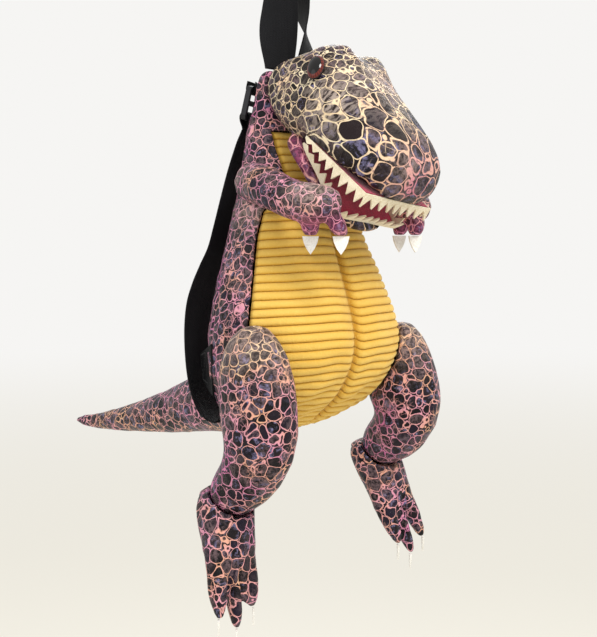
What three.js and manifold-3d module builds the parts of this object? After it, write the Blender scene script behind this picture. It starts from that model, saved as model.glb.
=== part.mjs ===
// A child's plush backpack in the form of a standing two-legged dinosaur, hung up by its handle.
// Millimetres. +Z is up, -Y is the way the belly faces, +X is the animal's left side.
// The origin is the point under the top of the handle loop, where a hook carries the bag.
import * as THREE from "three";
import { mergeVertices } from "three/addons/utils/BufferGeometryUtils.js";
import Module from "manifold-3d";

const wasm = await Module();
wasm.setup();

// Clearances and cloth
const GAP = 0.3; // between two pieces that touch
const SEAM_GAP = 0.6; // round a piece that is sewn into another
const SCALE_CLOTH = 2; // printed plush with its backing
const LINING_CLOTH = 1.6; // felt inside the mouth
const FELT = 1.4; // teeth and claws
const WEBBING = 1.8; // thickness of the woven straps
const WEBBING_WIDTH = 30;

// Torso
const TORSO_HEIGHT = 286;
const TORSO_WIDTH = 172;
const TORSO_DEPTH = 118;
const TORSO_SQUARENESS = 2.25; // 2 is an ellipse, more is boxier
const CREASE_DEPTH = 5; // the seam down the middle of the belly pulls in
const CREASE_WIDTH = 11;

// Belly panel of wide-wale corduroy
const PANEL_CLOTH = 2;
const PANEL_SINK = 0.8; // how far the rib crests lie under the line of the side cloth
const RIB_PITCH = 6.7;
const RIB_HEIGHT = 1.6;

// Handle and shoulder straps
const HANDLE_RISE = 88; // from the top seam of the torso to the inside of the loop
const HANDLE_SPREAD = 32; // between the middles of its two feet
const STRAP_DROP = 247; // from the buckle down to the lowest bend of the strap
const BUCKLE_WIDTH = 38;
const BUCKLE_HEIGHT = 27;
const BUCKLE_THICKNESS = 4;
const BUCKLE_BAR = 4;
const ANCHOR_BASE = 40;
const STRAP_DOUBLED = 5; // end of webbing turned back beyond a buckle's bar

// Zip down the back
const ZIP_TAPE_WIDTH = 22;
const ZIP_SLOT_WIDTH = 7;
const ZIP_TAPE = 1.2;
const ZIP_TAPE_END = 0.012; // how far the tape runs on past the slot, share of the torso's places

// Head, with its own axes at the corner of the mouth
const HEAD_LENGTH = 156;
const HEAD_WIDTH = 94;
const HEAD_HEIGHT = 62; // crown above the line of the upper lip
const HEAD_FORWARD = 52; // mouth corner in front of the torso's top seam
const HEAD_DROP = 58; // mouth corner below the torso's top seam
const HEAD_PITCH = 37; // degrees, nose down
const HEAD_ROLL = 8; // degrees, right side up
const JAW_OPEN = 22; // degrees
const JAW_LENGTH = 74;
const JAW_THICKNESS = 18;
const TOOTH_PITCH = 9;
const TOOTH_LENGTH = 9;
const EYE_DIAMETER = 18;
const EYE_DOME = 7;

// Limbs and tail
const ARM_LENGTH = 80;
const ARM_THICKNESS = 30;
const SHOULDER_OUT = 3; // shoulder outside the torso's surface
const FINGER_LENGTH = 21;
const HAND_CLAW_WIDTH = 12;
const HAND_CLAW_LENGTH = 13;
const LEG_LENGTH = 128;
const LEG_WIDTH = 52;
const LEG_DEPTH = 66;
const HIP_OUT = 6; // hip outside the torso's surface
const FOOT_LENGTH = 98;
const FOOT_WIDTH = 52;
const TOE_WIDTH = 17;
const TOE_CLAW_WIDTH = 6;
const TOE_CLAW_LENGTH = 13;
const TAIL_LENGTH = 278;
const TAIL_GIRTH = 74; // diameter at the root

// The torso from its top seam to its lowest point
// down: share of the height. half: half width, share of half the width.
// mid: middle, share of the depth, back is positive. deep: half depth, share of half the depth.
const TORSO = [
  { down: 0, half: 0, mid: -0.05, deep: 0 },
  { down: 0.004, half: 0.34, mid: -0.05, deep: 0.09 },
  { down: 0.035, half: 0.4, mid: -0.015, deep: 0.15 },
  { down: 0.09, half: 0.42, mid: 0, deep: 0.25 },
  { down: 0.19, half: 0.49, mid: -0.017, deep: 0.42 },
  { down: 0.33, half: 0.59, mid: -0.06, deep: 0.62 },
  { down: 0.46, half: 0.73, mid: -0.09, deep: 0.75 },
  { down: 0.57, half: 0.86, mid: -0.13, deep: 0.9 },
  { down: 0.67, half: 0.96, mid: -0.16, deep: 1 },
  { down: 0.76, half: 1, mid: -0.165, deep: 1 },
  { down: 0.85, half: 0.98, mid: -0.14, deep: 0.84 },
  { down: 0.92, half: 0.84, mid: -0.075, deep: 0.64 },
  { down: 0.972, half: 0.54, mid: -0.01, deep: 0.4 },
  { down: 0.995, half: 0.26, mid: 0.02, deep: 0.2 },
  { down: 1, half: 0, mid: 0.02, deep: 0 },
];

// Edge of the belly panel: degrees round from the middle of the front
const PANEL_EDGE = [
  { place: 0.27, angle: 52 },
  { place: 0.34, angle: 64 },
  { place: 0.42, angle: 71 },
  { place: 0.55, angle: 74 },
  { place: 0.7, angle: 74.5 },
  { place: 0.82, angle: 71 },
  { place: 0.95, angle: 56 },
];

// The upper head from its rear seam to the nose
// ahead: share of the head length. half: share of half the width. The rest are shares of its height.
const HEAD = [
  { ahead: -0.475, half: 0, top: 0.16, waist: 0.16, foot: 0.16 },
  { ahead: -0.465, half: 0.5, top: 0.36, waist: 0.22, foot: 0.06 },
  { ahead: -0.4, half: 0.78, top: 0.54, waist: 0.28, foot: -0.1 },
  { ahead: -0.3, half: 0.9, top: 0.79, waist: 0.32, foot: -0.2 },
  { ahead: -0.2, half: 0.97, top: 0.97, waist: 0.32, foot: -0.24 },
  { ahead: -0.09, half: 1, top: 1, waist: 0.26, foot: -0.22 },
  { ahead: 0.02, half: 0.99, top: 0.93, waist: 0.2, foot: -0.1 },
  { ahead: 0.16, half: 0.97, top: 0.86, waist: 0.17, foot: -0.05 },
  { ahead: 0.3, half: 0.95, top: 0.78, waist: 0.18, foot: -0.05 },
  { ahead: 0.4, half: 0.9, top: 0.7, waist: 0.2, foot: -0.03 },
  { ahead: 0.47, half: 0.78, top: 0.58, waist: 0.22, foot: 0.01 },
  { ahead: 0.515, half: 0.5, top: 0.42, waist: 0.22, foot: 0.06 },
  { ahead: 0.528, half: 0, top: 0.22, waist: 0.22, foot: 0.22 },
];

// The lower jaw from its hinge to the chin
// ahead: share of the jaw length. half: share of half the head width. foot: share of the thickness.
const JAW = [
  { ahead: -0.08, half: 0, top: -0.3, foot: -0.3 },
  { ahead: -0.06, half: 0.7, top: 0.2, foot: -0.75 },
  { ahead: 0.12, half: 0.9, top: 0.3, foot: -0.98 },
  { ahead: 0.35, half: 0.87, top: 0.3, foot: -1 },
  { ahead: 0.6, half: 0.79, top: 0.3, foot: -0.88 },
  { ahead: 0.82, half: 0.64, top: 0.3, foot: -0.7 },
  { ahead: 0.96, half: 0.38, top: 0.2, foot: -0.55 },
  { ahead: 1, half: 0, top: -0.2, foot: -0.2 },
];

// The leg from the top of the thigh to the ankle, from the hip
// drop and fore: shares of the leg length. wide and deep: shares of half the leg's width and depth.
const LEG = [
  { drop: -0.31, fore: -0.06, wide: 0, deep: 0 },
  { drop: -0.295, fore: -0.055, wide: 0.36, deep: 0.36 },
  { drop: -0.22, fore: -0.035, wide: 0.66, deep: 0.7 },
  { drop: -0.08, fore: -0.01, wide: 0.9, deep: 0.93 },
  { drop: 0.1, fore: 0.02, wide: 1, deep: 1.02 },
  { drop: 0.26, fore: 0.05, wide: 0.98, deep: 0.97 },
  { drop: 0.4, fore: 0.03, wide: 0.92, deep: 0.86 },
  { drop: 0.52, fore: -0.05, wide: 0.84, deep: 0.74 },
  { drop: 0.61, fore: -0.15, wide: 0.76, deep: 0.62 },
  { drop: 0.665, fore: -0.22, wide: 0.55, deep: 0.44 },
  { drop: 0.68, fore: -0.245, wide: 0, deep: 0 },
];

// The foot from the ankle to where its toes begin
// drop, fore and out: shares of the foot length. wide and deep: shares of half the foot width.
const FOOT = [
  { drop: -0.02, fore: -0.06, out: 0, wide: 0, deep: 0 },
  { drop: 0, fore: -0.06, out: 0, wide: 0.55, deep: 0.6 },
  { drop: 0.07, fore: -0.05, out: 0.01, wide: 0.82, deep: 0.9 },
  { drop: 0.22, fore: -0.02, out: 0.03, wide: 0.92, deep: 0.86 },
  { drop: 0.4, fore: 0.06, out: 0.06, wide: 0.96, deep: 0.6 },
  { drop: 0.55, fore: 0.11, out: 0.09, wide: 0.98, deep: 0.44 },
  { drop: 0.64, fore: 0.14, out: 0.1, wide: 0.85, deep: 0.32 },
  { drop: 0.66, fore: 0.145, out: 0.1, wide: 0, deep: 0 },
];

// The toes. side: place across the foot, share of half its width. reach: tip, share of the foot length.
const TOES = [
  { name: "inner", side: -0.62, spread: -0.6, reach: 0.88 },
  { name: "middle", side: 0, spread: 0.04, reach: 1 },
  { name: "outer", side: 0.62, spread: 0.7, reach: 0.88 },
];

// The arm from the shoulder to the hand, from the shoulder point
// fore, out and drop: shares of the arm length. girth: share of half the thickness.
const ARM = [
  { fore: -0.32, out: -0.28, drop: -0.02, girth: 0 },
  { fore: -0.3, out: -0.24, drop: -0.02, girth: 0.7 },
  { fore: -0.12, out: -0.02, drop: -0.04, girth: 1.08 },
  { fore: 0.2, out: 0.1, drop: 0.02, girth: 1.06 },
  { fore: 0.5, out: 0.16, drop: 0.13, girth: 0.98 },
  { fore: 0.75, out: 0.12, drop: 0.18, girth: 1.02 },
  { fore: 0.9, out: 0.08, drop: 0.18, girth: 0.86 },
  { fore: 0.97, out: 0.05, drop: 0.19, girth: 0.4 },
  { fore: 0.98, out: 0.05, drop: 0.19, girth: 0 },
];

// The two fingers. fore and out: place in the hand and at the tip, shares of the arm length.
const FINGERS = [
  { name: "rear", fore: 0.7, out: 0.12, tipFore: 0.66, tipOut: 0.06 },
  { name: "front", fore: 0.88, out: 0.07, tipFore: 0.94, tipOut: -0.01 },
];
const HAND_DROP = 0.2; // from the shoulder down to the fingers' roots, share of the arm length

// The tail from inside the torso to its tip
// back, side and drop: shares of the tail length. girth: share of half the root's diameter.
const TAIL = [
  { back: -0.05, side: 0, drop: -0.01, girth: 0 },
  { back: -0.04, side: 0, drop: -0.01, girth: 0.8 },
  { back: 0.04, side: 0, drop: 0.0, girth: 0.98 },
  { back: 0.14, side: 0, drop: 0.02, girth: 0.89 },
  { back: 0.28, side: 0, drop: 0.055, girth: 0.74 },
  { back: 0.45, side: 0, drop: 0.105, girth: 0.58 },
  { back: 0.62, side: -0.003, drop: 0.145, girth: 0.43 },
  { back: 0.8, side: -0.012, drop: 0.185, girth: 0.29 },
  { back: 0.93, side: -0.022, drop: 0.2, girth: 0.19 },
  { back: 0.99, side: -0.03, drop: 0.205, girth: 0.11 },
  { back: 1, side: -0.03, drop: 0.205, girth: 0 },
];

// One half of the handle loop, from its foot to its top
// apart: share of half the spread. rise: share of the rise. twist: degrees the band has turned.
const HANDLE = [
  { apart: 1, rise: -0.12, twist: 0 },
  { apart: 1.02, rise: 0.05, twist: 4 },
  { apart: 0.98, rise: 0.3, twist: 34 },
  { apart: 0.82, rise: 0.52, twist: 62 },
  { apart: 0.62, rise: 0.74, twist: 78 },
  { apart: 0.36, rise: 0.93, twist: 88 },
  { apart: 0, rise: 1, twist: 90 },
];

// A shoulder strap below its buckle
// drop: share of the strap drop. side and back: shares of the torso's width and depth.
const STRAP = [
  { drop: 0.08, side: 0.116, back: 0.212, turn: 24 },
  { drop: 0.18, side: 0.15, back: 0.25, turn: 18 },
  { drop: 0.34, side: 0.205, back: 0.275, turn: 10 },
  { drop: 0.46, side: 0.24, back: 0.31, turn: 6 },
  { drop: 0.56, side: 0.28, back: 0.385, turn: 5 },
  { drop: 0.66, side: 0.31, back: 0.425, turn: 6 },
  { drop: 0.79, side: 0.34, back: 0.39, turn: 9 },
  { drop: 0.91, side: 0.363, back: 0.31, turn: 14 },
  { drop: 0.985, side: 0.372, back: 0.19, turn: 20 },
  { drop: 1, side: 0.36, back: 0.06, turn: 22 },
];

const turnOf = (degrees) => THREE.MathUtils.degToRad(degrees);
const clamp = THREE.MathUtils.clamp;
const vec = (x, y, z) => new THREE.Vector3(x, y, z);
const power = (value, exponent) => Math.sign(value) * Math.abs(value) ** exponent;
const SIDES = [
  { name: "right", sign: -1 },
  { name: "left", sign: 1 },
];

// Every column of a table, read on a smooth curve through its rows; place runs from 0 to 1.
function rowAt(table, place) {
  const last = table.length - 1;
  const whole = Math.min(Math.floor(place * last), last - 1);
  const t = place * last - whole;
  const [a, b, c, d] = [-1, 0, 1, 2].map((step) => table[clamp(whole + step, 0, last)]);
  const row = {};
  for (const name of Object.keys(b)) {
    if (typeof b[name] !== "number") continue;
    const bend = 2 * a[name] - 5 * b[name] + 4 * c[name] - d[name];
    const twist = 3 * b[name] - a[name] - 3 * c[name] + d[name];
    row[name] = b[name] + 0.5 * t * (c[name] - a[name] + t * (bend + t * twist));
  }
  return row;
}

// One column of a table, read straight between its rows at a value of its key column.
function readAt(table, key, column, value) {
  const next = table.findIndex((row) => row[key] >= value);
  if (next === 0) return table[0][column];
  if (next < 0) return table[table.length - 1][column];
  const [low, high] = [table[next - 1], table[next]];
  const share = (value - low[key]) / (high[key] - low[key]);
  return THREE.MathUtils.lerp(low[column], high[column], share);
}

// A solid from vertices and triangles, turned so that its faces point out.
function solid(vertices, triangles) {
  let volume = 0;
  for (const [a, b, c] of triangles)
    volume += vertices[a].dot(vertices[b].clone().cross(vertices[c]));
  const faces = volume < 0 ? triangles.map(([a, b, c]) => [a, c, b]) : triangles;
  return new wasm.Manifold(
    new wasm.Mesh({
      numProp: 3,
      vertProperties: Float32Array.from(vertices.flatMap((p) => p.toArray())),
      triVerts: Uint32Array.from(faces.flat()),
    }),
  );
}

// A solid from one of the closed geometry classes.
function solidOf(geometry) {
  const bare = geometry.clone();
  bare.deleteAttribute("normal");
  bare.deleteAttribute("uv");
  const merged = mergeVertices(bare, 1e-4);
  return new wasm.Manifold(
    new wasm.Mesh({
      numProp: 3,
      vertProperties: merged.attributes.position.array,
      triVerts: Uint32Array.from(merged.index.array),
    }),
  );
}

// Two rows of triangles between rings of points, where each ring closes on itself.
function band(low, high, around) {
  const faces = [];
  for (let i = 0; i < around; i++) {
    const next = (i + 1) % around;
    faces.push([low + i, low + next, high + i], [low + next, high + next, high + i]);
  }
  return faces;
}

// A surface of two shares, turn and place, moved out along its normal.
const POLE_NEAR = 0.012; // so near a pole, the normal is the mean of those round it

function raised(surface, out) {
  const step = 1e-3;
  const normalAt = (turn, place) => {
    const across = surface(turn + step, place).sub(surface(turn - step, place));
    const down = surface(turn, place + step).sub(surface(turn, place - step));
    return down.cross(across).normalize();
  };
  return (turn, place) => {
    const near = clamp(place, POLE_NEAR, 1 - POLE_NEAR);
    const normal = vec(0, 0, 0);
    if (near === place) normal.copy(normalAt(turn, place));
    else for (let i = 0; i < 8; i++) normal.add(normalAt(i / 8, near));
    return surface(turn, place).addScaledVector(normal.normalize(), out);
  };
}

// A closed skin of rings between two poles.
function closedSkin(surface, around, along) {
  const vertices = [surface(0, 0)];
  for (let j = 1; j < along; j++)
    for (let i = 0; i < around; i++) vertices.push(surface(i / around, j / along));
  const end = vertices.push(surface(0, 1)) - 1;
  const faces = [];
  for (let i = 0; i < around; i++) {
    const next = (i + 1) % around;
    faces.push([0, 1 + next, 1 + i], [end, end - around + i, end - around + next]);
  }
  for (let j = 0; j < along - 2; j++)
    faces.push(...band(1 + j * around, 1 + (j + 1) * around, around));
  return solid(vertices, faces);
}

const RING_SIDES = 7; // of a finger's or a toe's rings

// A body through rings of points, closed by a fan over its first and its last ring.
function loft(rings) {
  const around = rings[0].length;
  const vertices = rings.flat();
  const last = (rings.length - 1) * around;
  const faces = [];
  for (let j = 0; j < rings.length - 1; j++)
    faces.push(...band(j * around, (j + 1) * around, around));
  for (let i = 1; i < around - 1; i++) faces.push([0, i + 1, i], [last, last + i, last + i + 1]);
  return solid(vertices, faces);
}

// A wall between two sheets of the same outline, each with its own number of columns and rows.
function wall(outer, inner, fine, coarse) {
  const vertices = [];
  const faces = [];
  const grid = (sheet, { columns, rows }) => {
    const start = vertices.length;
    for (let j = 0; j <= rows; j++)
      for (let i = 0; i <= columns; i++) vertices.push(sheet(i / columns, j / rows));
    return (i, j) => start + j * (columns + 1) + i;
  };
  const cover = (at, { columns, rows }, flip) => {
    for (let j = 0; j < rows; j++)
      for (let i = 0; i < columns; i++) {
        const [a, b, c, d] = [at(i, j), at(i + 1, j), at(i + 1, j + 1), at(i, j + 1)];
        faces.push(...(flip ? [[a, c, b], [a, d, c]] : [[a, b, c], [a, c, d]]));
      }
  };
  const top = grid(outer, fine);
  const under = grid(inner, coarse);
  cover(top, fine, false);
  cover(under, coarse, true);
  const rim = (at, { columns, rows }) => {
    const corners = [];
    for (let i = 0; i < columns; i++) corners.push([i / columns, at(i, 0)]);
    for (let j = 0; j < rows; j++) corners.push([1 + j / rows, at(columns, j)]);
    for (let i = 0; i < columns; i++) corners.push([2 + i / columns, at(columns - i, rows)]);
    for (let j = 0; j < rows; j++) corners.push([3 + j / rows, at(0, rows - j)]);
    return corners;
  };
  const [a, b] = [rim(top, fine), rim(under, coarse)];
  let [i, j] = [0, 0];
  while (i < a.length || j < b.length) {
    const nextA = i + 1 < a.length ? a[i + 1][0] : i < a.length ? 4 : Infinity;
    const nextB = j + 1 < b.length ? b[j + 1][0] : j < b.length ? 4 : Infinity;
    const [p, q] = [a[i % a.length][1], b[j % b.length][1]];
    if (nextA <= nextB) faces.push([q, a[++i % a.length][1], p]);
    else faces.push([p, q, b[++j % b.length][1]]);
  }
  return solid(vertices, faces);
}

// A flat band along a list of stations, each with its middle, width direction and face direction.
function ribbon(stations, width, thickness) {
  const rings = stations.map(({ middle, across, face }) =>
    [[-1, -1], [1, -1], [1, 1], [-1, 1]].map(([side, out]) =>
      middle
        .clone()
        .addScaledVector(across, (side * width) / 2)
        .addScaledVector(face, (out * thickness) / 2),
    ),
  );
  return loft(rings);
}

// A level ring of points.
function levelRing(middle, radius) {
  const ring = [];
  for (let k = 0; k < RING_SIDES; k++) {
    const angle = (2 * Math.PI * k) / RING_SIDES;
    ring.push(middle.clone().add(vec(radius * Math.cos(angle), radius * Math.sin(angle), 0)));
  }
  return ring;
}

// A limb: ellipses square to a path, whose first axis stays level across the body.
function limbSkin(centreAt, wideAt, deepAt) {
  return (turn, place) => {
    const step = 1e-3;
    const ahead = centreAt(Math.min(place + step, 1)).sub(centreAt(Math.max(place - step, 0)));
    const across = vec(1, 0, 0).addScaledVector(ahead.normalize(), -ahead.x).normalize();
    const deep = ahead.clone().cross(across);
    const angle = 2 * Math.PI * turn;
    return centreAt(place)
      .addScaledVector(across, wideAt(place) * Math.cos(angle))
      .addScaledVector(deep, deepAt(place) * Math.sin(angle));
  };
}

// Torso form: turn 0 is the middle of the front, a quarter is the animal's left side.
const CREASE = { from: 0.36, to: 0.93 };

function torsoSurface(turn, place) {
  const row = rowAt(TORSO, place);
  const angle = 2 * Math.PI * turn;
  const half = (row.half * TORSO_WIDTH) / 2;
  const deep = (row.deep * TORSO_DEPTH) / 2;
  const x = half * power(Math.sin(angle), 2 / TORSO_SQUARENESS);
  const front = power(Math.cos(angle), 2 / TORSO_SQUARENESS);
  const along = clamp((row.down - CREASE.from) / (CREASE.to - CREASE.from), 0, 1);
  const pull = front > 0 ? CREASE_DEPTH * Math.sin(Math.PI * along) : 0;
  const crease = pull * Math.exp(-((x / CREASE_WIDTH) ** 2));
  const y = row.mid * TORSO_DEPTH - deep * front + crease;
  return vec(x, y, -HANDLE_RISE - row.down * TORSO_HEIGHT);
}

const TORSO_GRID = { around: 28, along: 22 };
const torsoSkin = (out) =>
  closedSkin(raised(torsoSurface, out), TORSO_GRID.around, TORSO_GRID.along);
const torsoClear = torsoSkin(SEAM_GAP);

// Belly panel: its rows follow the corduroy's ribs, counted along the middle of the front.
const panelTop = PANEL_EDGE[0].place;
const panelEnd = PANEL_EDGE[PANEL_EDGE.length - 1].place;

// Places down the front at equal steps of cloth.
function evenPlaces(count) {
  const fine = 400;
  const lengths = [0];
  for (let i = 1; i <= fine; i++) {
    const at = (share) => torsoSurface(0, THREE.MathUtils.lerp(panelTop, panelEnd, share));
    lengths.push(lengths[i - 1] + at(i / fine).distanceTo(at((i - 1) / fine)));
  }
  const total = lengths[fine];
  const places = [];
  for (let k = 0; k <= count; k++) {
    const next = Math.max(1, lengths.findIndex((length) => length >= (total * k) / count - 1e-9));
    const span = lengths[next] - lengths[next - 1];
    const share = (next - 1 + clamp(((total * k) / count - lengths[next - 1]) / span, 0, 1)) / fine;
    places.push(THREE.MathUtils.lerp(panelTop, panelEnd, share));
  }
  return { places, total };
}
const RIB_COUNT = Math.round(evenPlaces(1).total / RIB_PITCH);
const ROWS_PER_RIB = 2;
const panelPlaces = evenPlaces(RIB_COUNT * ROWS_PER_RIB).places;

// The panel's sheet, at a depth below the torso's surface; margin widens it on every side.
function panelSheet(out, margin) {
  const sheet = raised(torsoSurface, out);
  return (across, down) => {
    const index = down * (panelPlaces.length - 1);
    const low = Math.min(Math.floor(index), panelPlaces.length - 2);
    const place = THREE.MathUtils.lerp(panelPlaces[low], panelPlaces[low + 1], index - low);
    const extra = margin / TORSO_HEIGHT;
    const ring = Math.PI * rowAt(TORSO, place).half * TORSO_WIDTH;
    const wide = readAt(PANEL_EDGE, "place", "angle", place) / 360 + margin / ring;
    return sheet((2 * across - 1) * wide, place + extra * (2 * down - 1));
  };
}

function bellyPanel() {
  const crest = panelSheet(-PANEL_SINK, 0);
  const groove = panelSheet(-PANEL_SINK - RIB_HEIGHT, 0);
  const back = panelSheet(-PANEL_SINK - RIB_HEIGHT - PANEL_CLOTH, 0);
  const rows = panelPlaces.length - 1;
  const ribbed = (across, down) => {
    const onCrest = Math.round(down * rows) % ROWS_PER_RIB === 1;
    return onCrest ? crest(across, down) : groove(across, down);
  };
  return wall(ribbed, back, { columns: 8, rows }, { columns: 4, rows: Math.round(rows / 6) });
}

const insideSkin = (depth) => closedSkin(raised(torsoSurface, -SCALE_CLOTH - depth), 16, 12);

function bodyShell() {
  const grid = { columns: 6, rows: 30 };
  const window = wall(
    panelSheet(RIB_HEIGHT + SCALE_CLOTH, 1.5 * SEAM_GAP),
    panelSheet(-RIB_HEIGHT - 3 * PANEL_CLOTH, 1.5 * SEAM_GAP),
    grid,
    grid,
  );
  return torsoSkin(0).subtract(insideSkin(0)).subtract(window).subtract(zipSlot());
}

// Zip: its tape lies against the inside of the back, and its coil fills the slot.
const zipPlaces = { from: 0.3, to: 0.62 };

function zipSheet(out, halfWidth, growth) {
  const sheet = raised(torsoSurface, out);
  return (across, down) => {
    const place = THREE.MathUtils.lerp(zipPlaces.from - growth, zipPlaces.to + growth, down);
    const ring = Math.PI * rowAt(TORSO, place).half * TORSO_WIDTH;
    return sheet(0.5 + ((2 * across - 1) * halfWidth) / ring, place);
  };
}

const ZIP_GRID = { columns: 2, rows: 6 };

function zipBlock(out, inner, half, growth) {
  return wall(zipSheet(out, half, growth), zipSheet(inner, half, growth), ZIP_GRID, ZIP_GRID);
}
const zipSlot = () => zipBlock(3 * SCALE_CLOTH, -3 * SCALE_CLOTH, ZIP_SLOT_WIDTH / 2, 0);

function backZip() {
  const under = -SCALE_CLOTH - SEAM_GAP;
  const shorter = -SEAM_GAP / TORSO_HEIGHT;
  const coil = zipBlock(0, under - ZIP_TAPE, ZIP_SLOT_WIDTH / 2 - SEAM_GAP, shorter);
  const outline = zipBlock(0, 3 * under, ZIP_TAPE_WIDTH / 2, ZIP_TAPE_END);
  const tape = outline.intersect(insideSkin(GAP)).subtract(insideSkin(GAP + ZIP_TAPE));
  return coil.intersect(torsoSkin(0)).subtract(insideSkin(GAP + ZIP_TAPE)).add(tape);
}

// Head
const headGroup = new THREE.Group();
headGroup.position.set(0, -HEAD_FORWARD, -HANDLE_RISE - HEAD_DROP);
headGroup.rotation.set(turnOf(HEAD_PITCH), turnOf(HEAD_ROLL), 0);
headGroup.updateMatrixWorld(true);
const toHead = headGroup.matrixWorld.clone().invert();

const HEAD_SQUARENESS = 2.7;
// A brow over each eye: its middle and its size, shares of the head's length, width and height.
const BROW = { side: 0.52, ahead: -0.2, length: 0.11, width: 0.24, height: 0.16 };

function headSurface(turn, place) {
  const row = rowAt(HEAD, place);
  const angle = 2 * Math.PI * turn;
  const x = ((row.half * HEAD_WIDTH) / 2) * power(Math.sin(angle), 2 / HEAD_SQUARENESS);
  const up = power(Math.cos(angle), 2 / HEAD_SQUARENESS);
  const span = up > 0 ? row.top - row.waist : row.waist - row.foot;
  const aside = Math.abs(x) / (HEAD_WIDTH / 2);
  const along = ((row.ahead - BROW.ahead) / BROW.length) ** 2;
  const fall = along + ((aside - BROW.side) / BROW.width) ** 2;
  const brow = up > 0 ? BROW.height * up * Math.exp(-fall) : 0;
  return vec(x, -row.ahead * HEAD_LENGTH, (row.waist + up * span + brow) * HEAD_HEIGHT);
}

const ROOF = LINING_CLOTH + GAP; // height of the head's underside over the lip line
const MOUTH_BACK = 4; // the mouth's rear wall, ahead of its corner

// A box between two corners.
function box(low, high) {
  const size = high.clone().sub(low);
  const geometry = new THREE.BoxGeometry(size.x, size.y, size.z);
  const middle = low.clone().add(high).multiplyScalar(0.5);
  return geometry.translate(middle.x, middle.y, middle.z);
}

const headReach = 1.2 * HEAD_LENGTH;

// A solid of the torso's axes, moved into the head's own axes.
function fromHead(made) {
  const { vertProperties, triVerts } = made.getMesh();
  const vertices = [];
  for (let i = 0; i < vertProperties.length; i += 3)
    vertices.push(vec(...vertProperties.slice(i, i + 3)).applyMatrix4(toHead));
  const faces = [];
  for (let i = 0; i < triVerts.length; i += 3) faces.push([...triVerts.slice(i, i + 3)]);
  return solid(vertices, faces);
}
const torsoFromHead = fromHead(torsoClear);

function upperHead() {
  const skin = closedSkin(headSurface, 20, 17);
  const mouth = box(vec(-headReach, -headReach, -headReach), vec(headReach, -MOUTH_BACK, ROOF));
  const handle = fromHead(handleBand(SEAM_GAP));
  return skin.subtract(solidOf(mouth)).subtract(torsoFromHead).subtract(handle);
}

// Jaw: its own axes turn down about the corner of the mouth.
const jawTurn = new THREE.Matrix4()
  .makeRotationX(turnOf(JAW_OPEN))
  .setPosition(0, 0, -LINING_CLOTH);

function jawSurface(turn, place) {
  const row = rowAt(JAW, place);
  const angle = 2 * Math.PI * turn;
  const x = ((row.half * HEAD_WIDTH) / 2) * power(Math.sin(angle), 2 / HEAD_SQUARENESS);
  const up = power(Math.cos(angle), 2 / HEAD_SQUARENESS);
  const middle = (row.top + row.foot) / 2;
  const height = (middle + (up * (row.top - row.foot)) / 2) * JAW_THICKNESS;
  return vec(x, -row.ahead * JAW_LENGTH, height);
}

function lowerJaw() {
  const skin = closedSkin((turn, place) => jawSurface(turn, place).applyMatrix4(jawTurn), 18, 12);
  const bed = box(vec(-headReach, -headReach, -ROOF), vec(headReach, headReach, headReach));
  const behind = box(
    vec(-headReach, -MOUTH_BACK - GAP, -headReach),
    vec(headReach, headReach, headReach),
  );
  return skin
    .subtract(solidOf(bed.applyMatrix4(jawTurn)))
    .subtract(solidOf(behind))
    .subtract(torsoFromHead);
}

// Half width of a mouth edge at a distance ahead, from where a surface meets a level plane.
function edgeAt(surface, level, ahead) {
  let place = 0;
  for (let step = 0.25; step > 1e-5; step /= 2) {
    if (-surface(0, place + step).y < ahead) place += step;
  }
  let [low, high] = [0.25, 0.5];
  for (let i = 0; i < 24; i++) {
    const middle = (low + high) / 2;
    if (surface(middle, place).z > level) low = middle;
    else high = middle;
  }
  return surface(low, place).x;
}

// Points of a U along the lip, from the right corner round the nose to the left corner.
function lipLine(surface, level, inset, from, tip, pitch) {
  const half = [];
  const steps = 60;
  for (let i = 0; i <= steps; i++) {
    const ahead = from + (tip - from) * Math.sin((Math.PI / 2) * (i / steps));
    const width = i === steps ? 0 : Math.max(0, edgeAt(surface, level, ahead + inset * 0.4) - inset);
    half.push(new THREE.Vector2(width, ahead));
  }
  const whole = [...half.map((p) => new THREE.Vector3(-p.x, -p.y, 0))];
  whole.push(...half.slice(0, -1).reverse().map((p) => new THREE.Vector3(p.x, -p.y, 0)));
  const curve = new THREE.CatmullRomCurve3(whole);
  const teeth = Math.round(curve.getLength() / pitch);
  return curve.getSpacedPoints(2 * teeth);
}

// The teeth: how far down they may reach in the open mouth, how deep the strip is between them,
// and how far they lean out, as shares of their height.
const TEETH = { room: 0.42, least: 1, root: 0.1, notch: 0.12, upperLean: 0.1, lowerLean: 0.25 };

// A felt strip that stands on the lip line, cut into pointed teeth.
function toothStrip(points, rootHeight, tipHeight, lean) {
  const rings = points.map((point, i) => {
    const before = points[Math.max(i - 1, 0)];
    const after = points[Math.min(i + 1, points.length - 1)];
    const ahead = after.clone().sub(before).normalize();
    const out = vec(ahead.y, -ahead.x, 0);
    const isTip = i % 2 === 1;
    const tip = tipHeight(-point.y);
    const end = isTip ? tip : rootHeight * TEETH.root + tip * TEETH.notch;
    return [[-0.5, rootHeight], [0.5, rootHeight], [0.5, end], [-0.5, end]].map(([side, height]) =>
      point
        .clone()
        .addScaledVector(out, side * FELT + lean * Math.abs(height - rootHeight))
        .setZ(height),
    );
  });
  return loft(rings);
}

const mouthFrom = MOUTH_BACK + 2 * GAP;
const upperTip = 0.5 * HEAD_LENGTH;
const lowerTip = 0.93 * JAW_LENGTH;
const room = (ahead) => TEETH.room * ahead * Math.tan(turnOf(JAW_OPEN)) + TEETH.least;
const upperLip = (inset, pitch) =>
  lipLine(headSurface, ROOF, inset, mouthFrom, upperTip - inset, pitch);
const lowerLip = (inset, pitch) =>
  lipLine(jawSurface, -ROOF, inset, mouthFrom + FELT, lowerTip - inset, pitch);

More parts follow.
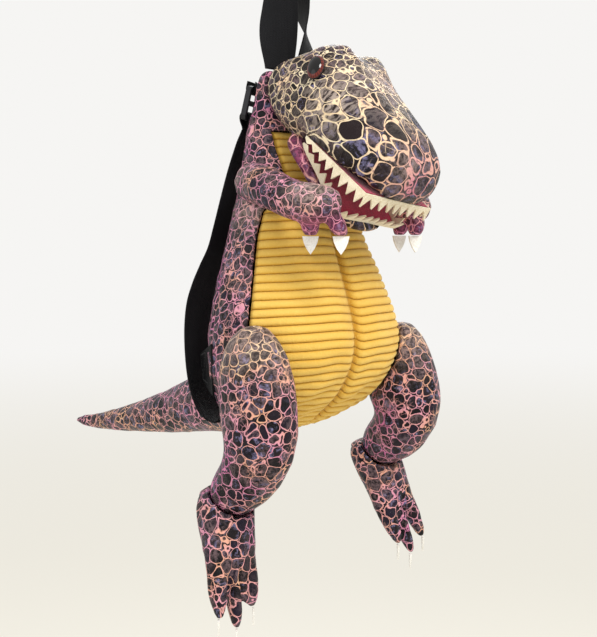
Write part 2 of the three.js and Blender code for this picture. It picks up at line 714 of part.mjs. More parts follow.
function upperTeeth() {
  const tip = (ahead) => -Math.min(TOOTH_LENGTH, room(ahead));
  return toothStrip(upperLip(FELT, TOOTH_PITCH), LINING_CLOTH, tip, TEETH.upperLean);
}

function lowerTeeth() {
  const tip = (ahead) => Math.min(TOOTH_LENGTH, room(ahead));
  return toothStrip(lowerLip(FELT, TOOTH_PITCH), -LINING_CLOTH, tip, TEETH.lowerLean);
}

// A felt lining over the flat inside of the mouth, cut to fit within the teeth.
function liningPlate(points, low, high) {
  const shape = new THREE.Shape(points.map((p) => new THREE.Vector2(p.x, p.y)));
  const geometry = new THREE.ExtrudeGeometry(shape, { depth: high - low, bevelEnabled: false });
  return solidOf(geometry.translate(0, 0, low));
}

// Eye: a domed button on the side of the head, square to its surface.
const EYE_SIDES = 14;

function eyeGeometry() {
  const radius = EYE_DIAMETER / 2;
  const profile = [
    [0, 0],
    [radius, 0],
    [radius, 0.18 * EYE_DOME],
    [0.9 * radius, 0.42 * EYE_DOME],
    [0.72 * radius, 0.7 * EYE_DOME],
    [0.42 * radius, 0.92 * EYE_DOME],
    [0, EYE_DOME],
  ];
  return new THREE.LatheGeometry(profile.map(([r, h]) => new THREE.Vector2(r, h)), EYE_SIDES);
}

// turn and place on the head. rim: share of the radius at which it must clear the cloth.
// girth: round the head there, share of the head's width.
const EYE = { turn: 0.172, place: 0.385, rim: 0.8, girth: 2.6 };
const EYE_RIM_POINTS = 8;

function eyeMesh(side) {
  const turn = side.sign * EYE.turn;
  const flat = raised(headSurface, 0);
  const lifted = raised(headSurface, 1);
  const seat = flat(turn, EYE.place);
  const out = lifted(turn, EYE.place).sub(seat).normalize();
  const reach = (EYE.rim * EYE_DIAMETER) / 2;
  const around = Array.from({ length: EYE_RIM_POINTS }, (_, k) => {
    const angle = (2 * Math.PI * k) / EYE_RIM_POINTS;
    const spot = flat(
      turn + (reach * Math.cos(angle)) / (EYE.girth * HEAD_WIDTH),
      EYE.place + (reach * Math.sin(angle)) / HEAD_LENGTH,
    );
    return spot.sub(seat).dot(out);
  });
  const lift = Math.max(0, ...around) + GAP;
  const mesh = piece("eye_" + side.name, solidOf(eyeGeometry()), FINISH.eye);
  mesh.position.copy(seat).addScaledVector(out, lift);
  mesh.quaternion.setFromUnitVectors(vec(0, 1, 0), out);
  return mesh;
}

// Legs hang from the sides of the belly.
const HIP = { turn: 0.175, place: 0.68 };
const LIMP = {
  right: { hip: 0, drop: 0.1, back: 0.06, reach: 0.09 },
  left: { hip: 0.06, drop: -0.16, back: 0, reach: -0.08 },
};

const hipPoint = (side) => raised(torsoSurface, HIP_OUT)(side.sign * HIP.turn, HIP.place);

function legSurface(side, grow) {
  const hip = hipPoint(side);
  const sag = LIMP[side.name];
  const pathAt = (place) => {
    const row = rowAt(LEG, place);
    const low = Math.max(0, row.drop);
    const fore = row.fore - sag.back * low;
    const drop = sag.hip + row.drop + sag.drop * low;
    return hip.clone().add(vec(0, -fore * LEG_LENGTH, -drop * LEG_LENGTH));
  };
  const pole = pathAt(1).sub(pathAt(0.98)).setLength(grow);
  const centreAt = (place) => (place === 1 ? pathAt(place).add(pole) : pathAt(place));
  const sizeAt = (column, size) => (place) => {
    const share = rowAt(LEG, place)[column];
    return Math.max(0, (share * size) / 2) + (share > 0 ? grow : 0);
  };
  return limbSkin(centreAt, sizeAt("wide", LEG_WIDTH), sizeAt("deep", LEG_DEPTH));
}

const LEG_GRID = { around: 12, along: 14 };
const leg = (side) =>
  closedSkin(legSurface(side, 0), LEG_GRID.around, LEG_GRID.along).subtract(torsoClear);

// Feet hang limp below the ankles, each with three toes.
// The ankle below and behind the hip, shares of the leg length.
const ANKLE = { down: 0.6, back: 0.19 };

function anklePoint(side) {
  const sag = LIMP[side.name];
  const back = ANKLE.back + sag.back * ANKLE.down;
  const drop = sag.hip + (1 + sag.drop) * ANKLE.down;
  return hipPoint(side).add(vec(0, back * LEG_LENGTH, -drop * LEG_LENGTH));
}

function footPoint(side, ankle, row, across) {
  return ankle
    .clone()
    .addScaledVector(vec(side.sign * row.out, -row.fore, -row.drop), FOOT_LENGTH)
    .add(vec(across, 0, 0));
}

// Where the toes start in the foot and where they end, shares of the foot length.
const TOE_ROOT = { drop: 0.5, fore: 0.1, out: 0.08 };
const TOE_TIP = { fore: 0.25, out: 0.15 };

function toeRow(toe, share) {
  const tip = { ...TOE_TIP, drop: toe.reach };
  const row = {};
  for (const name of Object.keys(TOE_ROOT))
    row[name] = THREE.MathUtils.lerp(TOE_ROOT[name], tip[name], share);
  row.across = (THREE.MathUtils.lerp(toe.side, toe.spread, share) * FOOT_WIDTH) / 2;
  return row;
}

const TOE = [
  { share: -0.1, girth: 0.3 },
  { share: 0.1, girth: 0.98 },
  { share: 0.4, girth: 1 },
  { share: 0.72, girth: 0.84 },
  { share: 0.94, girth: 0.5 },
  { share: 1, girth: 0.22 },
];

function toeSolid(side, ankle, toe) {
  const rings = TOE.map(({ share, girth }) => {
    const row = toeRow(toe, share);
    const middle = footPoint(side, ankle, row, side.sign * row.across);
    return levelRing(middle, (girth * TOE_WIDTH) / 2);
  });
  return loft(rings);
}

function foot(side) {
  const ankle = anklePoint(side);
  const surface = (turn, place) => {
    const row = rowAt(FOOT, place);
    const angle = 2 * Math.PI * turn;
    const across = ((row.wide * FOOT_WIDTH) / 2) * Math.cos(angle);
    const deep = ((row.deep * FOOT_WIDTH) / 2) * Math.sin(angle);
    return footPoint(side, ankle, row, across).add(vec(0, deep, 0));
  };
  let made = closedSkin(surface, 12, 8);
  for (const toe of TOES) made = made.add(toeSolid(side, ankle, toe));
  return made.subtract(closedSkin(legSurface(side, 1.5 * SEAM_GAP), LEG_GRID.around, LEG_GRID.along));
}

// Claws: pointed felt cut-outs that hang from the tips of the fingers and toes.
function clawGeometry(width, length) {
  const shape = new THREE.Shape();
  shape.moveTo(-width / 2, 0);
  shape.quadraticCurveTo(-0.42 * width, -0.55 * length, 0, -length);
  shape.quadraticCurveTo(0.42 * width, -0.55 * length, width / 2, 0);
  shape.lineTo(-width / 2, 0);
  const geometry = new THREE.ExtrudeGeometry(shape, {
    depth: FELT,
    bevelEnabled: false,
    curveSegments: 3,
  });
  return geometry.translate(0, 0, -FELT / 2).rotateX(Math.PI / 2);
}

// Degrees that the claws' flat faces are turned about the vertical.
const CLAW_FACING = { right: -45, left: -20, toe: 50 };

function clawMesh(name, tip, width, length, facing) {
  const mesh = piece(name, solidOf(clawGeometry(width, length)), FINISH.claw);
  mesh.position.copy(tip).add(vec(0, 0, -GAP));
  mesh.rotation.set(0, 0, turnOf(facing));
  return mesh;
}

// Arms reach forward from the chest under the jaw.
const SHOULDER = { turn: 0.2, place: 0.352 };

function armCentre(side, row) {
  const shoulder = raised(torsoSurface, SHOULDER_OUT)(side.sign * SHOULDER.turn, SHOULDER.place);
  const fore = row.fore * (1 + LIMP[side.name].reach);
  return shoulder.add(vec(side.sign * row.out, -fore, -row.drop).multiplyScalar(ARM_LENGTH));
}

// A finger from its root to its tip. girth: radius, share of the arm's thickness.
const FINGER = [
  { share: 0, girth: 0.16 },
  { share: 0.5, girth: 0.27 },
  { share: 0.85, girth: 0.23 },
  { share: 1, girth: 0.16 },
];

function fingerSolid(side, finger) {
  const root = armCentre(side, { fore: finger.fore, out: finger.out, drop: HAND_DROP });
  const tip = fingerTip(side, finger);
  return loft(
    FINGER.map(({ share, girth }) => levelRing(root.clone().lerp(tip, share), girth * ARM_THICKNESS)),
  );
}

function fingerTip(side, finger) {
  const under = armCentre(side, { fore: finger.tipFore, out: finger.tipOut, drop: HAND_DROP });
  return under.add(vec(0, 0, -FINGER_LENGTH));
}

function arm(side) {
  const centreAt = (place) => armCentre(side, rowAt(ARM, place));
  const sizeAt = (place) => Math.max(0, (rowAt(ARM, place).girth * ARM_THICKNESS) / 2);
  let made = closedSkin(limbSkin(centreAt, sizeAt, sizeAt), 10, 11);
  for (const finger of FINGERS) made = made.add(fingerSolid(side, finger));
  return made.subtract(torsoClear);
}

// Tail
const TAIL_ROOT = { back: 0.22, up: 0.088 };

function tail() {
  const root = vec(0, TAIL_ROOT.back * TORSO_DEPTH, -HANDLE_RISE - (1 - TAIL_ROOT.up) * TORSO_HEIGHT);
  const centreAt = (place) => {
    const row = rowAt(TAIL, place);
    return root.clone().add(vec(row.side, row.back, -row.drop).multiplyScalar(TAIL_LENGTH));
  };
  const sizeAt = (place) => Math.max(0, (rowAt(TAIL, place).girth * TAIL_GIRTH) / 2);
  return closedSkin(limbSkin(centreAt, sizeAt, sizeAt), 12, 12).subtract(torsoClear);
}

// Handle: one band of webbing, whose two feet are sewn into the top seam.
function handleBand(grow) {
  const steps = 9;
  const seamY = TORSO[1].mid * TORSO_DEPTH;
  const centreAt = (share) => {
    const row = rowAt(HANDLE, 1 - Math.abs(share));
    const x = (Math.sign(share) * row.apart * HANDLE_SPREAD) / 2;
    const lean = seamY * (1 - clamp(row.rise, 0, 1));
    return vec(x, lean, (row.rise - 1) * HANDLE_RISE + WEBBING / 2);
  };
  const stations = [];
  for (let i = -steps; i <= steps; i++) {
    const share = i / steps;
    const next = clamp(share + 0.02, -1, 1);
    const ahead = centreAt(next).sub(centreAt(Math.max(next - 0.04, -1))).normalize();
    const inPlane = ahead.clone().cross(vec(0, 1, 0)).normalize();
    const twist = turnOf(rowAt(HANDLE, 1 - Math.abs(share)).twist);
    const across = inPlane.multiplyScalar(Math.cos(twist)).add(vec(0, Math.sin(twist), 0));
    across.addScaledVector(ahead, -across.dot(ahead)).normalize();
    stations.push({ middle: centreAt(share), across, face: ahead.clone().cross(across) });
  }
  return ribbon(stations, WEBBING_WIDTH + 2 * grow, WEBBING + 2 * grow);
}

const handleLoop = () => handleBand(0).subtract(torsoClear);

// Shoulder straps: a short tab from the top seam, a ladder buckle and the strap below it.
const STRAP_TURN = STRAP[0].turn;
const BUCKLE_AT = { side: 0.115, back: 0.155, drop: 0.085, lean: 14 };

// The buckle's own axes: across the webbing, out of its face, and up along the back.
function buckleFrame(side) {
  const turn = -side.sign * turnOf(STRAP_TURN);
  const across = vec(Math.cos(turn), Math.sin(turn), 0);
  const up = vec(0, 0, 1).applyAxisAngle(across, turnOf(BUCKLE_AT.lean));
  const face = up.clone().cross(across);
  const middle = vec(
    side.sign * BUCKLE_AT.side * TORSO_WIDTH,
    BUCKLE_AT.back * TORSO_DEPTH,
    -HANDLE_RISE - BUCKLE_AT.drop * TORSO_HEIGHT,
  );
  const at = (out, rise) => middle.clone().addScaledVector(face, out).addScaledVector(up, rise);
  return { across, up, face, middle, at };
}

const slotHeight = (BUCKLE_HEIGHT - 3 * BUCKLE_BAR) / 2;

function buckle(side) {
  const { across, up, face, middle } = buckleFrame(side);
  const [w, h, r] = [BUCKLE_WIDTH / 2, BUCKLE_HEIGHT / 2, BUCKLE_BAR];
  const shape = new THREE.Shape();
  shape.moveTo(-w + r, -h);
  shape.lineTo(w - r, -h);
  shape.quadraticCurveTo(w, -h, w, -h + r);
  shape.lineTo(w, h - r);
  shape.quadraticCurveTo(w, h, w - r, h);
  shape.lineTo(-w + r, h);
  shape.quadraticCurveTo(-w, h, -w, h - r);
  shape.lineTo(-w, -h + r);
  shape.quadraticCurveTo(-w, -h, -w + r, -h);
  const geometry = new THREE.ExtrudeGeometry(shape, {
    depth: BUCKLE_THICKNESS,
    bevelEnabled: false,
    curveSegments: 2,
  });
  const slotHalf = WEBBING_WIDTH / 2 + 2 * GAP;
  let made = solidOf(geometry.translate(0, 0, -BUCKLE_THICKNESS / 2));
  for (const low of [BUCKLE_BAR / 2, -BUCKLE_BAR / 2 - slotHeight]) {
    const slot = box(
      vec(-slotHalf, low, -BUCKLE_THICKNESS),
      vec(slotHalf, low + slotHeight, BUCKLE_THICKNESS),
    );
    made = made.subtract(solidOf(slot));
  }
  const mesh = piece("buckle_" + side.name, made, FINISH.plastic);
  mesh.position.copy(middle);
  mesh.setRotationFromMatrix(new THREE.Matrix4().makeBasis(across, up, face.clone().negate()));
  return mesh;
}

// Stations of a band that folds round one of the buckle's outer bars.
// upward: 1 for the upper bar. loose: side of the buckle's face on which the band ends, 1 outward.
function foldRound(side, upward, loose) {
  const { across, at } = buckleFrame(side);
  const barHeight = upward * (BUCKLE_HEIGHT / 2 - BUCKLE_BAR / 2);
  const radius = Math.hypot(BUCKLE_BAR, BUCKLE_THICKNESS) / 2 + GAP + WEBBING / 2;
  const route = [[radius, barHeight + upward * STRAP_DOUBLED]];
  for (let k = 0; k <= 4; k++) {
    const angle = (Math.PI * k) / 4;
    route.push([radius * Math.cos(angle), barHeight - upward * radius * Math.sin(angle)]);
  }
  return route.map(([out, rise]) => ({ middle: at(loose * out, rise), across }));
}

// Face directions for stations that have a middle and an across.
function withFaces(stations) {
  return stations.map(({ middle, across }, i) => {
    const before = stations[Math.max(i - 1, 0)].middle;
    const after = stations[Math.min(i + 1, stations.length - 1)].middle;
    return { middle, across, face: after.clone().sub(before).cross(across).normalize() };
  });
}

function strapTab(side) {
  const { across, middle, at } = buckleFrame(side);
  const seam = vec(middle.x, 0, -HANDLE_RISE - (TORSO[2].down * TORSO_HEIGHT) / 2);
  const stations = foldRound(side, 1, 1);
  stations.push({ middle: at(-BUCKLE_THICKNESS, BUCKLE_HEIGHT / 2 + WEBBING), across });
  stations.push({ middle: seam, across });
  return ribbon(withFaces(stations), WEBBING_WIDTH, WEBBING).subtract(torsoClear);
}

function strapCentre(side, row) {
  const top = buckleFrame(side).middle.z;
  return vec(
    side.sign * row.side * TORSO_WIDTH,
    row.back * TORSO_DEPTH,
    top - row.drop * STRAP_DROP,
  );
}

// The strap's station at a share of its way down.
function strapStation(side, share) {
  const row = rowAt(STRAP, share);
  const turn = -side.sign * turnOf(row.turn);
  return { middle: strapCentre(side, row), across: vec(Math.cos(turn), Math.sin(turn), 0) };
}

function strap(side) {
  const stations = foldRound(side, -1, -1);
  const steps = 15;
  for (let i = 0; i <= steps; i++) stations.push(strapStation(side, i / steps));
  return ribbon(withFaces(stations), WEBBING_WIDTH, WEBBING).subtract(torsoClear);
}

// Side tab: a triangle of webbing whose base is in the side seam and whose end meets the strap.
// turn: round the torso from the front. top: place of its base. The strap shares bound its end.
// clear: from its middle to the strap's, share of the webbing's thickness.
const ANCHOR = { turn: 0.29, top: 0.62, strapTop: 0.68, strapLow: 0.76, clear: 1.5 };

function strapAnchor(side) {
  const base = raised(torsoSurface, -SCALE_CLOTH)(side.sign * ANCHOR.turn, ANCHOR.top);
  const foot = base.clone().add(vec(0, 0, -ANCHOR_BASE));
  const upper = strapStation(side, ANCHOR.strapTop);
  const lower = strapStation(side, ANCHOR.strapLow);
  const tangent = lower.middle.clone().sub(upper.middle).normalize();
  const inward = upper.across.clone().cross(tangent).normalize();
  if (inward.y > 0) inward.negate();
  const clear = ANCHOR.clear * WEBBING + SEAM_GAP;
  const ends = [upper, lower].map(({ middle }) => middle.clone().addScaledVector(inward, clear));
  const flat = ends[0].clone().sub(base).cross(vec(0, 0, 1)).setLength(WEBBING / 2);
  const rings = [[base, foot], ends].map(([high, low]) => [
    high.clone().add(flat),
    high.clone().sub(flat),
    low.clone().sub(flat),
    low.clone().add(flat),
  ]);
  return loft(rings).subtract(torsoClear);
}

// Finishes
const finish = (color, roughness, metalness = 0) =>
  new THREE.MeshStandardMaterial({ color, roughness, metalness });
const FINISH = {
  scales: finish("#4b3440", 0.45, 0.1),
  headScales: finish("#6a5548", 0.45, 0.1),
  corduroy: finish("#e3b53c", 0.9),
  mouth: finish("#c4174f", 0.85),
  felt: finish("#efe6d2", 0.9),
  claw: finish("#f4f2ec", 0.9),
  webbing: finish("#17171b", 0.8),
  plastic: finish("#1b1b1e", 0.4),
  eye: finish("#7a1d12", 0.15),
};

// A named mesh from a solid.
function piece(name, made, material) {
  const [whole] = made.decompose().sort((a, b) => b.volume() - a.volume());
  const { vertProperties, triVerts, numProp } = whole.getMesh();
  const geometry = new THREE.BufferGeometry();
  const positions = new Float32Array(3 * (vertProperties.length / numProp));
  for (let i = 0; i < positions.length / 3; i++)
    for (let k = 0; k < 3; k++) positions[3 * i + k] = vertProperties[numProp * i + k];
  geometry.setAttribute("position", new THREE.BufferAttribute(positions, 3));
  geometry.setIndex(new THREE.BufferAttribute(new Uint32Array(triVerts), 1));
  geometry.computeVertexNormals();
  const mesh = new THREE.Mesh(geometry, material);
  mesh.name = name;
  return mesh;
}

const group = new THREE.Group();
group.add(
  piece("body_shell", bodyShell(), FINISH.scales),
  piece("belly_panel", bellyPanel(), FINISH.corduroy),
  piece("back_zip", backZip(), FINISH.plastic),
  piece("tail", tail(), FINISH.scales),
  piece("handle_loop", handleLoop(), FINISH.webbing),
);

const upperPlate = upperLip(2 * FELT + GAP, 2 * TOOTH_PITCH);
const lowerPlate = lowerLip(2 * FELT + GAP, 2 * TOOTH_PITCH);
headGroup.add(
  piece("head_upper", upperHead(), FINISH.headScales),
  piece("upper_teeth", upperTeeth(), FINISH.felt),
  piece("mouth_lining_upper", liningPlate(upperPlate, 0, LINING_CLOTH), FINISH.mouth),
  piece("lower_jaw", lowerJaw(), FINISH.headScales),
);
const jawGroup = new THREE.Group();
jawGroup.applyMatrix4(jawTurn);
jawGroup.add(
  piece("lower_teeth", lowerTeeth(), FINISH.felt),
  piece("mouth_lining_lower", liningPlate(lowerPlate, -LINING_CLOTH, 0), FINISH.mouth),
);
headGroup.add(jawGroup);
group.add(headGroup);

for (const side of SIDES) {
  headGroup.add(eyeMesh(side));
  group.add(
    piece("arm_" + side.name, arm(side), FINISH.scales),
    piece("leg_" + side.name, leg(side), FINISH.scales),
    piece("foot_" + side.name, foot(side), FINISH.scales),
    piece("strap_tab_" + side.name, strapTab(side), FINISH.webbing),
    piece("strap_" + side.name, strap(side), FINISH.webbing),
    piece("strap_anchor_" + side.name, strapAnchor(side), FINISH.webbing),
    buckle(side),
  );
  for (const finger of FINGERS) {
    const name = "hand_claw_" + side.name + "_" + finger.name;
    const facing = CLAW_FACING[side.name];
    const tip = fingerTip(side, finger);
    group.add(clawMesh(name, tip, HAND_CLAW_WIDTH, HAND_CLAW_LENGTH, facing));
  }
  for (const toe of TOES) {
    const row = toeRow(toe, 1);
    const tip = footPoint(side, anklePoint(side), row, side.sign * row.across);
    const name = "toe_claw_" + side.name + "_" + toe.name;
    group.add(clawMesh(name, tip, TOE_CLAW_WIDTH, TOE_CLAW_LENGTH, CLAW_FACING.toe));
  }
}

export default group;
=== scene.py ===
# %% [markdown]
# # A child's plush dinosaur backpack
# The bag hangs from its webbing handle. Its body is a hollow plush shell with a ribbed corduroy
# belly, and the head, limbs and tail are stuffed. The solids already say where each piece is, so
# this script dresses them: it works out smooth cloth surfaces, stuffs the limbs and makes finishes.

# %% Load the solids
import bpy
import bmesh
import numpy as np
from mathutils import Matrix, Vector


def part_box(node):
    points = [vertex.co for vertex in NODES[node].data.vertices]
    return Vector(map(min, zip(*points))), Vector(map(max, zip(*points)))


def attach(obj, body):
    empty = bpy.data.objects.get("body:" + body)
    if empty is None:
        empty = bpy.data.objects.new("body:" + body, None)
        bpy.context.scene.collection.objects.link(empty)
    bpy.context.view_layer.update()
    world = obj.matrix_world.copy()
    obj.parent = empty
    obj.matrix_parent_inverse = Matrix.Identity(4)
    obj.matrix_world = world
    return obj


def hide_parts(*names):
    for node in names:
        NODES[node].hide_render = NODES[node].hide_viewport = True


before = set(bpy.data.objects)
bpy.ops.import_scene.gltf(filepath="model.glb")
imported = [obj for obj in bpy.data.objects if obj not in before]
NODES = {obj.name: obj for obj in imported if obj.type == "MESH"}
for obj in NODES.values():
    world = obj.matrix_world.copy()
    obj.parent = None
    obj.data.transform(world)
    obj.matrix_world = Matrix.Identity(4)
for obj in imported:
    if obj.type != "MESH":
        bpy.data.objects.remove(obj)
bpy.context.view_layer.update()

# %% [markdown]
# ## Sizes
# A surface that is worked out from a formula needs the same sizes as the solids. Each length is
# in metres, and each table holds shares of those lengths, so that a bigger bag keeps its form.

# %% Sizes in metres
MM = 0.001
GAP, SEAM_GAP = 0.3 * MM, 0.6 * MM
PLUSH = 2 * MM
WEBBING, WEBBING_WIDTH, STITCH_LIFT = 1.8 * MM, 30 * MM, 0.15 * MM
TORSO_HEIGHT, TORSO_WIDTH, TORSO_DEPTH, SQUARENESS = 286 * MM, 172 * MM, 118 * MM, 2.25
CREASE_DEPTH, CREASE_WIDTH = 5 * MM, 11 * MM
PANEL_SINK, RIB_PITCH, RIB_HEIGHT = 0.8 * MM, 6.7 * MM, 1.6 * MM
HANDLE_RISE, HANDLE_SPREAD = 88 * MM, 32 * MM
STRAP_DROP, STRAP_DOUBLED = 247 * MM, 5 * MM
BUCKLE_HEIGHT, BUCKLE_THICKNESS, BUCKLE_BAR = 27 * MM, 4 * MM, 4 * MM
HEAD_LENGTH, HEAD_WIDTH, HEAD_HEIGHT = 156 * MM, 94 * MM, 62 * MM
HEAD_AT = np.array([0, -52, -146]) * MM
HEAD_PITCH, HEAD_ROLL = np.radians(37), np.radians(8)
EYE_DIAMETER, EYE_DOME, EYE_OVAL = 18 * MM, 7 * MM, (0.76, 1.12)
JAW_OPEN, JAW_SINK = np.radians(22), 1.6 * MM

# %% Tables in shares
# down, half width, middle, half depth
TORSO = [
    (0, 0, -0.05, 0), (0.004, 0.34, -0.05, 0.09), (0.035, 0.4, -0.015, 0.15), (0.09, 0.42, 0, 0.25),
    (0.19, 0.49, -0.017, 0.42), (0.33, 0.59, -0.06, 0.62), (0.46, 0.73, -0.09, 0.75),
    (0.57, 0.86, -0.13, 0.9), (0.67, 0.96, -0.16, 1), (0.76, 1, -0.165, 1), (0.85, 0.98, -0.14, 0.84),
    (0.92, 0.84, -0.075, 0.64), (0.972, 0.54, -0.01, 0.4), (0.995, 0.26, 0.02, 0.2), (1, 0, 0.02, 0),
]
# place down the torso, degrees round from the middle of the front
PANEL_EDGE = [(0.27, 54), (0.3, 50), (0.345, 41), (0.385, 70), (0.42, 73), (0.55, 74), (0.7, 74.5),
              (0.82, 71), (0.95, 56)]
# ahead, half width, top, waist, foot
HEAD = [
    (-0.475, 0, 0.16, 0.16, 0.16), (-0.465, 0.5, 0.36, 0.22, 0.06), (-0.4, 0.78, 0.54, 0.28, -0.1),
    (-0.3, 0.9, 0.79, 0.32, -0.2), (-0.2, 0.97, 0.97, 0.32, -0.24), (-0.09, 1, 1, 0.26, -0.22),
    (0.02, 0.99, 0.93, 0.2, -0.1), (0.16, 0.97, 0.86, 0.17, -0.05), (0.3, 0.95, 0.78, 0.18, -0.05),
    (0.4, 0.9, 0.7, 0.2, -0.03), (0.47, 0.78, 0.58, 0.22, 0.01), (0.515, 0.5, 0.42, 0.22, 0.06),
    (0.528, 0, 0.22, 0.22, 0.22),
]
# apart, rise, twist in degrees
HANDLE = [
    (1, -0.12, 0), (1.02, 0.05, 4), (0.98, 0.3, 34), (0.82, 0.52, 62), (0.62, 0.74, 78),
    (0.36, 0.93, 88), (0, 1, 90),
]
# drop, side, back, turn in degrees
STRAP = [
    (0.08, 0.116, 0.212, 24), (0.18, 0.15, 0.25, 18), (0.34, 0.205, 0.275, 10), (0.46, 0.24, 0.31, 6),
    (0.56, 0.28, 0.385, 5), (0.66, 0.31, 0.425, 6), (0.79, 0.34, 0.39, 9), (0.91, 0.363, 0.31, 14),
    (0.985, 0.372, 0.19, 20), (1, 0.36, 0.06, 22),
]
# shares down the torso where the zip's slot starts and ends
ZIP_LOW, ZIP_HIGH = 0.3, 0.62
# points round a band of webbing
AROUND = 24
SIDES = {"right": -1, "left": 1}

# %% [markdown]
# ## Reading a table
# A table read on straight lines would leave a kink at every row. A curve through its rows
# (Catmull-Rom) is smooth and still passes through each row exactly, and numpy reads it for a
# whole grid of places at once.

# %% Table and vector helpers
def row_at(table, place):
    """Columns of a table at places from 0 to 1: the cubic through each four neighbouring rows."""
    rows = np.asarray(table, float)
    last = len(rows) - 1
    at = np.asarray(place, float) * last
    low = np.clip(np.floor(at).astype(int), 0, last - 1)
    t = (at - low)[..., None]
    a, b, c, d = (rows[np.clip(low + step, 0, last)] for step in (-1, 0, 1, 2))
    return b + 0.5 * t * (c - a + t * (2 * a - 5 * b + 4 * c - d + t * (3 * b - a - 3 * c + d)))


def power(value, exponent):
    """Power of the size of a number, with the number's own sign."""
    return np.sign(value) * np.abs(value) ** exponent


def around(count):
    """Angles of a whole turn in even steps."""
    return 2 * np.pi * np.arange(count) / count


def unit(vectors):
    """Each vector divided by its length."""
    return vectors / np.maximum(np.linalg.norm(vectors, axis=-1, keepdims=True), 1e-12)


def run_along(path):
    """Length of a path from its start to each of its points."""
    return np.concatenate([[0], np.cumsum(np.linalg.norm(np.diff(path, axis=0), axis=1))])


def read_along(at, run, rows):
    """Rows that go with a path, read on straight lines at some lengths along it."""
    return np.stack([np.interp(at, run, rows[:, k]) for k in range(3)], 1)


def turned(angle, axis):
    """Turning matrix about a main axis."""
    return np.array(Matrix.Rotation(angle, 3, axis))


# %% [markdown]
# ## Torso form
# The torso is a stack of rings. Each ring is a superellipse, a little boxier than an ellipse, and
# the middle of the front is pulled in where the two halves of the belly are sewn together.

# %% Torso surface
def torso(turn, place):
    """x is half the width times sin, y the middle less the half depth times cos, both to the power
    2 / squareness; the crease adds a bell curve across the front, and z falls with the place."""
    down, half, mid, deep = np.moveaxis(row_at(TORSO, place), -1, 0)
    angle = 2 * np.pi * turn
    x = half * TORSO_WIDTH / 2 * power(np.sin(angle), 2 / SQUARENESS)
    front = power(np.cos(angle), 2 / SQUARENESS)
    along = np.clip((down - 0.36) / (0.93 - 0.36), 0, 1)
    pull = np.where(front > 0, CREASE_DEPTH * np.sin(np.pi * along), 0)
    y = mid * TORSO_DEPTH - deep * TORSO_DEPTH / 2 * front + pull * np.exp(-((x / CREASE_WIDTH) ** 2))
    return np.stack([x, y, -HANDLE_RISE - down * TORSO_HEIGHT], -1)


def normal_of(surface, turn, place):
    """Outward normal: the step down crossed with the step round, both taken as small differences."""
    step = 1e-3
    near = np.clip(place, 0.012, 0.988)
    across = surface(turn + step, near) - surface(turn - step, near)
    down = surface(turn, near + step) - surface(turn, near - step)
    return unit(np.cross(down, across))


def raised(surface, turn, place, out):
    """The surface moved out along its normal."""
    return surface(turn, place) + normal_of(surface, turn, place) * np.asarray(out)[..., None]


def panel_angle(place):
    """Half the belly panel's turn at a place."""
    edge = np.array(PANEL_EDGE)
    return np.interp(place, edge[:, 0], edge[:, 1]) / 360


def ring_length(place):
    """Rough length round the torso, which turns a width in metres into a share of a turn."""
    return np.maximum(np.pi * row_at(TORSO, place)[..., 1] * TORSO_WIDTH, 1e-4)


# %% [markdown]
# ## Meshes from grids
# A grid of points becomes a mesh of four-sided faces in one call. A second grid of values can go
# with it as an attribute or a UV map, and the finish reads that instead of guessing.

# %% Mesh helpers
def link(name, mesh):
    """A new object at the origin that holds a mesh."""
    obj = bpy.data.objects.new(name, mesh)
    bpy.context.scene.collection.objects.link(obj)
    return obj


def mesh_from(name, points, faces):
    """A smooth-shaded mesh from an array of points and an array of faces of the same size."""
    mesh = bpy.data.meshes.new(name)
    mesh.from_pydata(np.asarray(points).reshape(-1, 3).tolist(), [], np.asarray(faces).tolist())
    mesh.polygons.foreach_set("use_smooth", np.ones(len(mesh.polygons), bool))
    mesh.update()
    return link(name, mesh)


def grid_faces(rows, columns, loop=False):
    """Four-sided faces between neighbouring rows and columns; a loop joins the last column to the first."""
    index = np.arange(rows * columns).reshape(rows, columns)
    right = np.roll(index, -1, axis=1)
    span = slice(None) if loop else slice(None, -1)
    return np.stack([index[:-1, span], right[:-1, span], right[1:, span], index[1:, span]], -1)


def points_of(obj):
    """All vertices of an object's mesh as one array."""
    co = np.empty(3 * len(obj.data.vertices))
    obj.data.vertices.foreach_get("co", co)
    return co.reshape(-1, 3)


def set_points(obj, points):
    """Write the vertices back in one call."""
    obj.data.vertices.foreach_set("co", np.asarray(points).ravel())
    obj.data.update()


def normals_of(obj):
    """Vertex normals as one array."""
    normals = np.empty(3 * len(obj.data.vertices))
    obj.data.vertex_normals.foreach_get("vector", normals)
    return normals.reshape(-1, 3)


def note(obj, name, values):
    """Keep a number or a vector with every vertex, for the finish to read."""
    values = np.asarray(values, float)
    kind, field = ("FLOAT", "value") if values.ndim == 1 else ("FLOAT_VECTOR", "vector")
    obj.data.attributes.new(name, kind, "POINT").data.foreach_set(field, values.ravel())


def uv_from(obj, values):
    """A UV map from two numbers per vertex."""
    corners = np.empty(len(obj.data.loops), int)
    obj.data.loops.foreach_get("vertex_index", corners)
    layer = obj.data.uv_layers.new(name="cloth_uv")
    layer.data.foreach_set("uv", np.asarray(values, float)[corners].ravel())


def baked(obj):
    """Put what the modifiers make into the mesh, and leave no modifier on it."""
    bpy.context.view_layer.update()
    graph = bpy.context.evaluated_depsgraph_get()
    mesh = bpy.data.meshes.new_from_object(obj.evaluated_get(graph))
    obj.modifiers.clear()
    obj.data = mesh
    mesh.polygons.foreach_set("use_smooth", np.ones(len(mesh.polygons), bool))
    return obj


